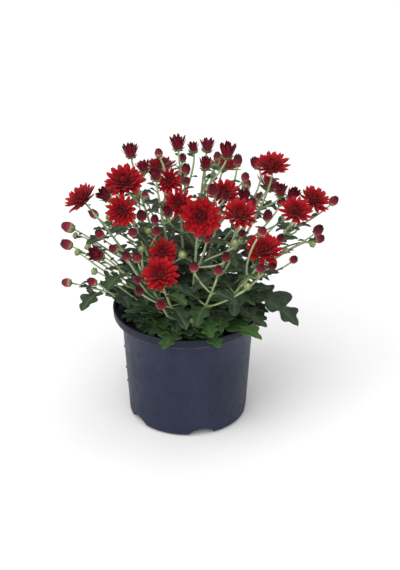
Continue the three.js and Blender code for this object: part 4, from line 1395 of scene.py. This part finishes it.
# Pot: a turned shell with a rolled rim, arched notches round its foot and a drain in each notch.
def turned_object(name, profile, sides):
    """A closed body of revolution as an object of its own, for cutting."""
    places = []
    rows = []
    for r, z in profile:
        if r == 0:
            rows.append([len(places)])
            places.append((0, 0, z * MM))
            continue
        rows.append(list(range(len(places), len(places) + sides)))
        for j in range(sides):
            angle = j * 2 * math.pi / sides
            places.append((r * math.cos(angle) * MM, r * math.sin(angle) * MM, z * MM))
    faces = []
    for low, high in zip(rows, rows[1:]):
        for j in range(sides):
            k = (j + 1) % sides
            if len(low) == 1:
                faces.append((low[0], high[k], high[j]))
            elif len(high) == 1:
                faces.append((low[j], low[k], high[0]))
            else:
                faces.append((low[j], low[k], high[k], high[j]))
    return mesh_object(name, places, faces)


def mesh_object(name, places, faces):
    mesh = bpy.data.meshes.new(name)
    mesh.from_pydata(places, [], faces)
    mesh.update()
    piece = bpy.data.objects.new(name, mesh)
    bpy.context.scene.collection.objects.link(piece)
    return piece


def notch_turn(index):
    return math.radians(NOTCH_TURN + index * 360 / NOTCHES)


def arch_object(index, grow):
    """The arched bar that cuts one notch."""
    half, height = NOTCH_WIDTH / 2 + grow, NOTCH_HEIGHT + grow
    outline = [(-half, -NOTCH_HEIGHT), (half, -NOTCH_HEIGHT)]
    outline += [(half * math.cos(a), height * math.sin(a)) for a in np.linspace(0, math.pi, ARCH_PLACES)]
    turn = notch_turn(index)
    places = []
    for y in (-WALL_BASE_RADIUS - NOTCH_DEPTH, NOTCH_DEPTH + grow - WALL_BASE_RADIUS):
        for x, z in outline:
            places.append((
                (x * math.cos(turn) - y * math.sin(turn)) * MM,
                (x * math.sin(turn) + y * math.cos(turn)) * MM,
                z * MM,
            ))
    n = len(outline)
    faces = [tuple(range(n)), tuple(reversed(range(n, 2 * n)))]
    faces += [(i, i + n, (i + 1) % n + n, (i + 1) % n) for i in range(n)]
    return mesh_object(f"arch_{index}", places, faces)


def moved(thing, x, y, z):
    """A thing whose mesh has been moved."""
    for vertex in thing.data.vertices:
        vertex.co.x += x * MM
        vertex.co.y += y * MM
        vertex.co.z += z * MM
    return thing


def drain_object(index):
    """The round bar that cuts one drain."""
    turn = notch_turn(index)
    y = NOTCH_DEPTH / 2 - WALL_BASE_RADIUS
    low, high = -NOTCH_HEIGHT, 3 * NOTCH_HEIGHT
    profile = [(0, low), (DRAIN_RADIUS, low), (DRAIN_RADIUS, high), (0, high)]
    bar = turned_object(f"drain_{index}", profile, DRAIN_SIDES)
    return moved(bar, -y * math.sin(turn), y * math.cos(turn), 0)


def wall_radius(z):
    """The outer radius of the wall at a height."""
    share = (z - FOOT_CHAMFER) / (RIM_LOW - RIM_SHOULDER - FOOT_CHAMFER)
    return mix(WALL_BASE_RADIUS, WALL_TOP_RADIUS, share)


def nub_object(index, z):
    """A small moulded nub on the left side of the wall."""
    tall = 1.6 * NUB_RADIUS
    angles = np.linspace(-math.pi / 2, math.pi / 2, 7)[1:-1]
    side = [(NUB_RADIUS * math.cos(a), tall * math.sin(a)) for a in angles]
    nub = turned_object(f"nub_{index}", [(0, -tall), *side, (0, tall)], NUB_SIDES)
    return moved(nub, -wall_radius(z), 0, z)


def cut(body, tools, operation="DIFFERENCE"):
    """The body without its tools, or joined with them. The tools are used up."""
    for tool in tools:
        modifier = body.modifiers.new("cut", "BOOLEAN")
        modifier.operation = operation
        modifier.solver = "EXACT"
        modifier.object = tool
    graph = bpy.context.evaluated_depsgraph_get()
    mesh = bpy.data.meshes.new_from_object(body.evaluated_get(graph))
    body.modifiers.clear()
    body.data = mesh
    for tool in tools:
        bpy.data.objects.remove(tool)
    return body


def rounded(corners, radius, steps=4):
    """A profile whose inner corners are rounded to a radius."""
    corners = np.array(corners, float)
    places = [corners[0]]
    for before, corner, after in zip(corners, corners[1:], corners[2:]):
        back, on = before - corner, after - corner
        reach = min(radius, np.linalg.norm(back) * 0.45, np.linalg.norm(on) * 0.45)
        start, end = corner + unit(back) * reach, corner + unit(on) * reach
        for t in np.linspace(0, 1, steps + 1):
            places.append(tuple((1 - t) ** 2 * start + 2 * t * (1 - t) * corner + t * t * end))
    places.append(corners[-1])
    return places


def make_pot(finish):
    inside_rim = RIM_RADIUS - RIM_WALL
    outside = rounded([
        (0, 0),
        (WALL_BASE_RADIUS - FOOT_CHAMFER, 0),
        (WALL_BASE_RADIUS, FOOT_CHAMFER),
        (WALL_TOP_RADIUS, RIM_LOW - RIM_SHOULDER),
        (RIM_RADIUS - RIM_DRAFT, RIM_LOW),
        (RIM_RADIUS, POT_HEIGHT - RIM_EDGE),
        (RIM_RADIUS - RIM_WALL / 2, POT_HEIGHT),
        (inside_rim, POT_HEIGHT - RIM_EDGE),
        (0, POT_HEIGHT - RIM_EDGE),
    ], OUTER_ROUND)
    inside = rounded([
        (0, WALL),
        (WALL_BASE_RADIUS - FOOT_CHAMFER - WALL, WALL),
        (WALL_BASE_RADIUS - WALL, FOOT_CHAMFER + WALL),
        (WALL_TOP_RADIUS - WALL, RIM_LOW - 2),
        (inside_rim - RIM_DRAFT, RIM_LOW + 2),
        (inside_rim - RIM_PLAY, POT_HEIGHT - 3),
        (inside_rim - RIM_PLAY, POT_HEIGHT + 3),
        (0, POT_HEIGHT + 3),
    ], INNER_ROUND)
    shell = turned_object("pot_shell", outside, POT_SIDES)
    cavity = turned_object("cavity", inside, POT_SIDES)
    cavity = cut(cavity, [arch_object(i, WALL) for i in range(NOTCHES)])
    shell = cut(shell, [arch_object(i, 0) for i in range(NOTCHES)])
    shell = cut(shell, [cavity])
    shell = cut(shell, [drain_object(i) for i in range(NOTCHES)])
    shell = cut(shell, [nub_object(i, z) for i, z in enumerate(NUB_HEIGHTS)], "UNION")
    bevel = shell.modifiers.new("edges", "BEVEL")
    bevel.width = EDGE_BEVEL * MM
    bevel.segments = 2
    bevel.limit_method = "ANGLE"
    bevel.angle_limit = math.radians(BEVEL_FROM)
    shell.data.shade_smooth()
    shell.data.set_sharp_from_angle(angle=math.radians(POT_SHARP))
    shell.data.materials.clear()
    shell.data.materials.append(finish)
    bpy.context.scene.collection.objects.unlink(shell)
    return place_piece(shell, "pot", "pot")


# Soil: peat that fills the pot, rounded up in the middle, with crumbs on top.
def soil_radius(z):
    return wall_radius(z) - WALL - SOIL_PLAY


def lumps(x, y):
    return (
        1.5 * np.sin(x * 0.23 + 1) * np.sin(y * 0.19)
        + 0.9 * np.sin(x * 0.61 + y * 0.37) * np.sin(y * 0.53 - x * 0.21 + 2)
        + 0.5 * np.sin(x * 1.3 + 0.7) * np.sin(y * 1.17 + x * 0.4)
    )


def soil_height(x, y):
    share = np.hypot(x, y) / soil_radius(SOIL_TOP)
    return SOIL_TOP + SOIL_CROWN * (1 - share**2) + lumps(x, y) * np.clip(1.3 - share, 0, 1)


def make_soil(finish):
    piece = Piece()
    low = NOTCH_HEIGHT + WALL + GAP
    core = WALL_BASE_RADIUS - NOTCH_DEPTH - WALL - SOIL_PLAY
    top = soil_radius(SOIL_TOP)
    shares = np.linspace(0.98, 0.01, SOIL_RINGS)
    profile = [(0.5, WALL + GAP), (core, WALL + GAP), (core, low), (soil_radius(low), low + GAP)]
    profile += [(soil_radius(z), z) for z in np.linspace(40, SOIL_TOP, 6)]
    profile += [(top * s, 0) for s in shares]
    profile = np.array(profile)
    angles = np.arange(SOIL_SIDES) * 2 * math.pi / SOIL_SIDES
    x = profile[:, :1] * np.cos(angles)
    y = profile[:, :1] * np.sin(angles)
    z = profile[:, 1:] * np.ones(SOIL_SIDES)
    z[-SOIL_RINGS:] = soil_height(x[-SOIL_RINGS:], y[-SOIL_RINGS:])
    places = np.stack([x, y, z], -1).reshape(-1, 3)
    ends = np.array([[0, 0, WALL + GAP], [0, 0, z[-1].mean()]])
    piece.add(np.concatenate([places, ends]), tube_faces(len(profile), SOIL_SIDES))
    angle = np.linspace(0, math.pi, 5)
    for i in range(CRUMBS):
        away = top * CRUMB_REACH * math.sqrt(chance(i * 3.3 + 1))
        turn = 2 * math.pi * chance(i * 5.1 + 2)
        x, y = away * math.cos(turn), away * math.sin(turn)
        size = mix(*CRUMB_SIZE, chance(i * 7.7 + 3) ** 3)
        tilt = facing(360 * chance(i + 0.5), 20 + 70 * chance(i + 0.7))
        crumb = [(max(size * math.sin(a), 0.05), -size * 0.8 * math.cos(a)) for a in angle]
        base = np.array([x, y, soil_height(x, y) + size * 0.35])
        piece.add_turned(crumb, 0, CRUMB_SIDES, tilt, base)
    return piece.make("soil_peat", [finish], "soil", "soil")


# The plant
def find_stem(index, name, tips):
    """The root, curve, stalks and leaves of a stem, as the frame's solid has them."""
    tree = corners_of(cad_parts[f"stem_{name}"])
    root = np.array([*tips[0]["middle"][:2] * ROOT_SHARES, 0])
    curve = find_leader(tree, tips[0], root)
    slots = stem_slots(curve)
    leaves = find_leaves(tree, name, slots, root, index)
    stalks = [find_stalk(tree, tip, slots) for tip in tips[1:]]
    return root, curve, stalks, leaves


def grow_stem(index, name, tips, finishes):
    """The green parts, leaves and closed buds of a stem, each as a piece."""
    root, curve, stalks, leaves = find_stem(index, name, tips)
    green, blades, petals = Piece(), Piece(), Piece()
    leader, side = (LEADER_RADIUS, TIP_RADIUS), (STALK_RADIUS, TIP_RADIUS)
    foot = np.array([root[0], root[1], FOOT_Z])
    add_stalk(green, curve, leader, index, np.linspace(foot, curve.point(0), 5)[:-1])
    for j, (slot, side_curve) in enumerate(stalks):
        inward = slot["middle"] - slot["out"] * 0.9
        add_stalk(green, side_curve, side, index * 9 + j, inward[None])
    for leaf in leaves:
        add_leaf(blades, leaf, BROAD_SHAPE if leaf["length"] > BROAD_FROM else SMALL_SHAPE)
    add_inner_leaves(blades, curve, index * 3.9)
    add_low_leaves(blades, curve, index * 6.1)
    add_bracts(blades, curve, leader, LEADER_BRACTS, index * 2.3)
    for j, (_, side_curve) in enumerate(stalks):
        add_bracts(blades, side_curve, side, STALK_BRACTS, index * 5.3 + j)
    for j, tip in enumerate(tips):
        seed = index * 31 + j * 3.7
        if tip["kind"] == "bud":
            add_bud(petals, green, tip, seed)
        elif tip["kind"] == "green":
            add_green_bud(green, tip, seed)
        else:
            add_cup(green, tip, seed)

    stem = f"stem_{name}"
    for piece, part, slot, kinds in (
        (green, "stalks", "foliage", ("stalk", "scale", "young")),
        (blades, "leaves", "foliage", ("leaf", "stalk")),
        (petals, "buds", "opening_petals", ("bud", "bud_core")),
    ):
        if piece.count:
            piece.make(f"{stem}_{part}", [finishes[kind] for kind in kinds], slot, stem)


def grow_flowers(index, name, tips, finishes):
    for j, tip in enumerate(tips):
        if tip["kind"] not in FLOWER_PIECES:
            continue
        part, slot = FLOWER_PIECES[tip["kind"]]
        flower = Piece()
        add_flower(flower, tip, index * 17 + j * 5.3)
        number = f"{name}_{j + 1}"
        kinds = [finishes[part], finishes["core"]]
        flower.make(f"{part}_{number}", kinds, slot, f"{tip['kind']}_{number}")


def make_plant():
    finishes = {
        "petals": petal_finish(
            "petal_red", base=rgb(80, 2, 9), face=rgb(166, 4, 18), tip=rgb(212, 18, 36),
            shade=rgb(60, 1, 8), reverse=rgb(168, 34, 46), gold=rgb(222, 108, 54),
            eye=rgb(128, 66, 34),
        ),
        "opening": petal_finish(
            "petal_maroon", base=rgb(158, 84, 90), face=rgb(118, 5, 26), tip=rgb(84, 2, 20),
            shade=rgb(52, 1, 14), reverse=rgb(158, 18, 56), gold=rgb(172, 60, 74),
            eye=rgb(52, 1, 14),
        ),
        "bud": bud_finish("bud_petal"),
        "bud_core": core_finish("bud_core", rgb(60, 10, 22), rgb(96, 18, 36)),
        "core": core_finish("flower_core", rgb(70, 12, 16), rgb(120, 50, 20)),
        "leaf": leaf_finish("leaf"),
        "stalk": stalk_finish("stalk"),
        "scale": scale_finish("scale"),
        "young": core_finish("young_bud", rgb(150, 156, 100), rgb(186, 184, 132)),
    }
    for index, (name, rows) in enumerate(STEMS.items()):
        tips = [read_tip(row) for row in rows]
        grow_stem(index, name, tips, finishes)
        grow_flowers(index, name, tips, finishes)


# Floor, light and camera
def aimed(name, data, place, target):
    """A lamp or camera at a place, turned towards its target."""
    thing = bpy.data.objects.new(name, data)
    bpy.context.scene.collection.objects.link(thing)
    place, target = Vector(place) * MM, Vector(target) * MM
    thing.location = place
    thing.rotation_mode = "QUATERNION"
    thing.rotation_quaternion = (target - place).to_track_quat("-Z", "Y")
    return thing


def make_floor():
    half = FLOOR_HALF * MM
    floor = mesh_object(
        "floor",
        [(-half, -half, 0), (half, -half, 0), (half, half, 0), (-half, half, 0)],
        [(0, 1, 2, 3)],
    )
    floor.location.z = -FLOOR_DROP * MM
    floor.data.materials.append(floor_finish("pale_floor"))


def make_lights():
    for name, (place, size, power) in LAMPS.items():
        data = bpy.data.lights.new(name, "AREA")
        data.shape = "DISK"
        data.size = size * MM
        data.energy = power
        aimed(name, data, place, LIT_PLACE)
    data = bpy.data.lights.new("key", "SUN")
    data.energy = KEY_STRENGTH
    data.angle = math.radians(KEY_SOFTNESS)
    aimed("key", data, KEY_PLACE, LIT_PLACE)
    world = bpy.data.worlds.new("studio")
    world.use_nodes = True
    background = next(n for n in world.node_tree.nodes if n.type == "BACKGROUND")
    background.inputs["Color"].default_value = (1, 1, 1, 1)
    background.inputs["Strength"].default_value = WORLD_STRENGTH
    bpy.context.scene.world = world


def make_camera():
    data = bpy.data.cameras.new("camera")
    data.lens = CAMERA_LENS
    data.sensor_width = CAMERA_SENSOR
    angle = math.radians(CAMERA_ELEVATION)
    target = np.array(CAMERA_TARGET, float)
    place = target + CAMERA_DISTANCE * np.array([0, -math.cos(angle), math.sin(angle)])
    camera = aimed("camera", data, place, target)
    bpy.context.scene.camera = camera


make_camera()
make_lights()
make_floor()
make_pot(pot_finish("pot_plastic"))
make_plant()
make_soil(soil_finish("peat"))
bpy.context.scene.view_settings.view_transform = "Standard"

bpy.context.view_layer.update()
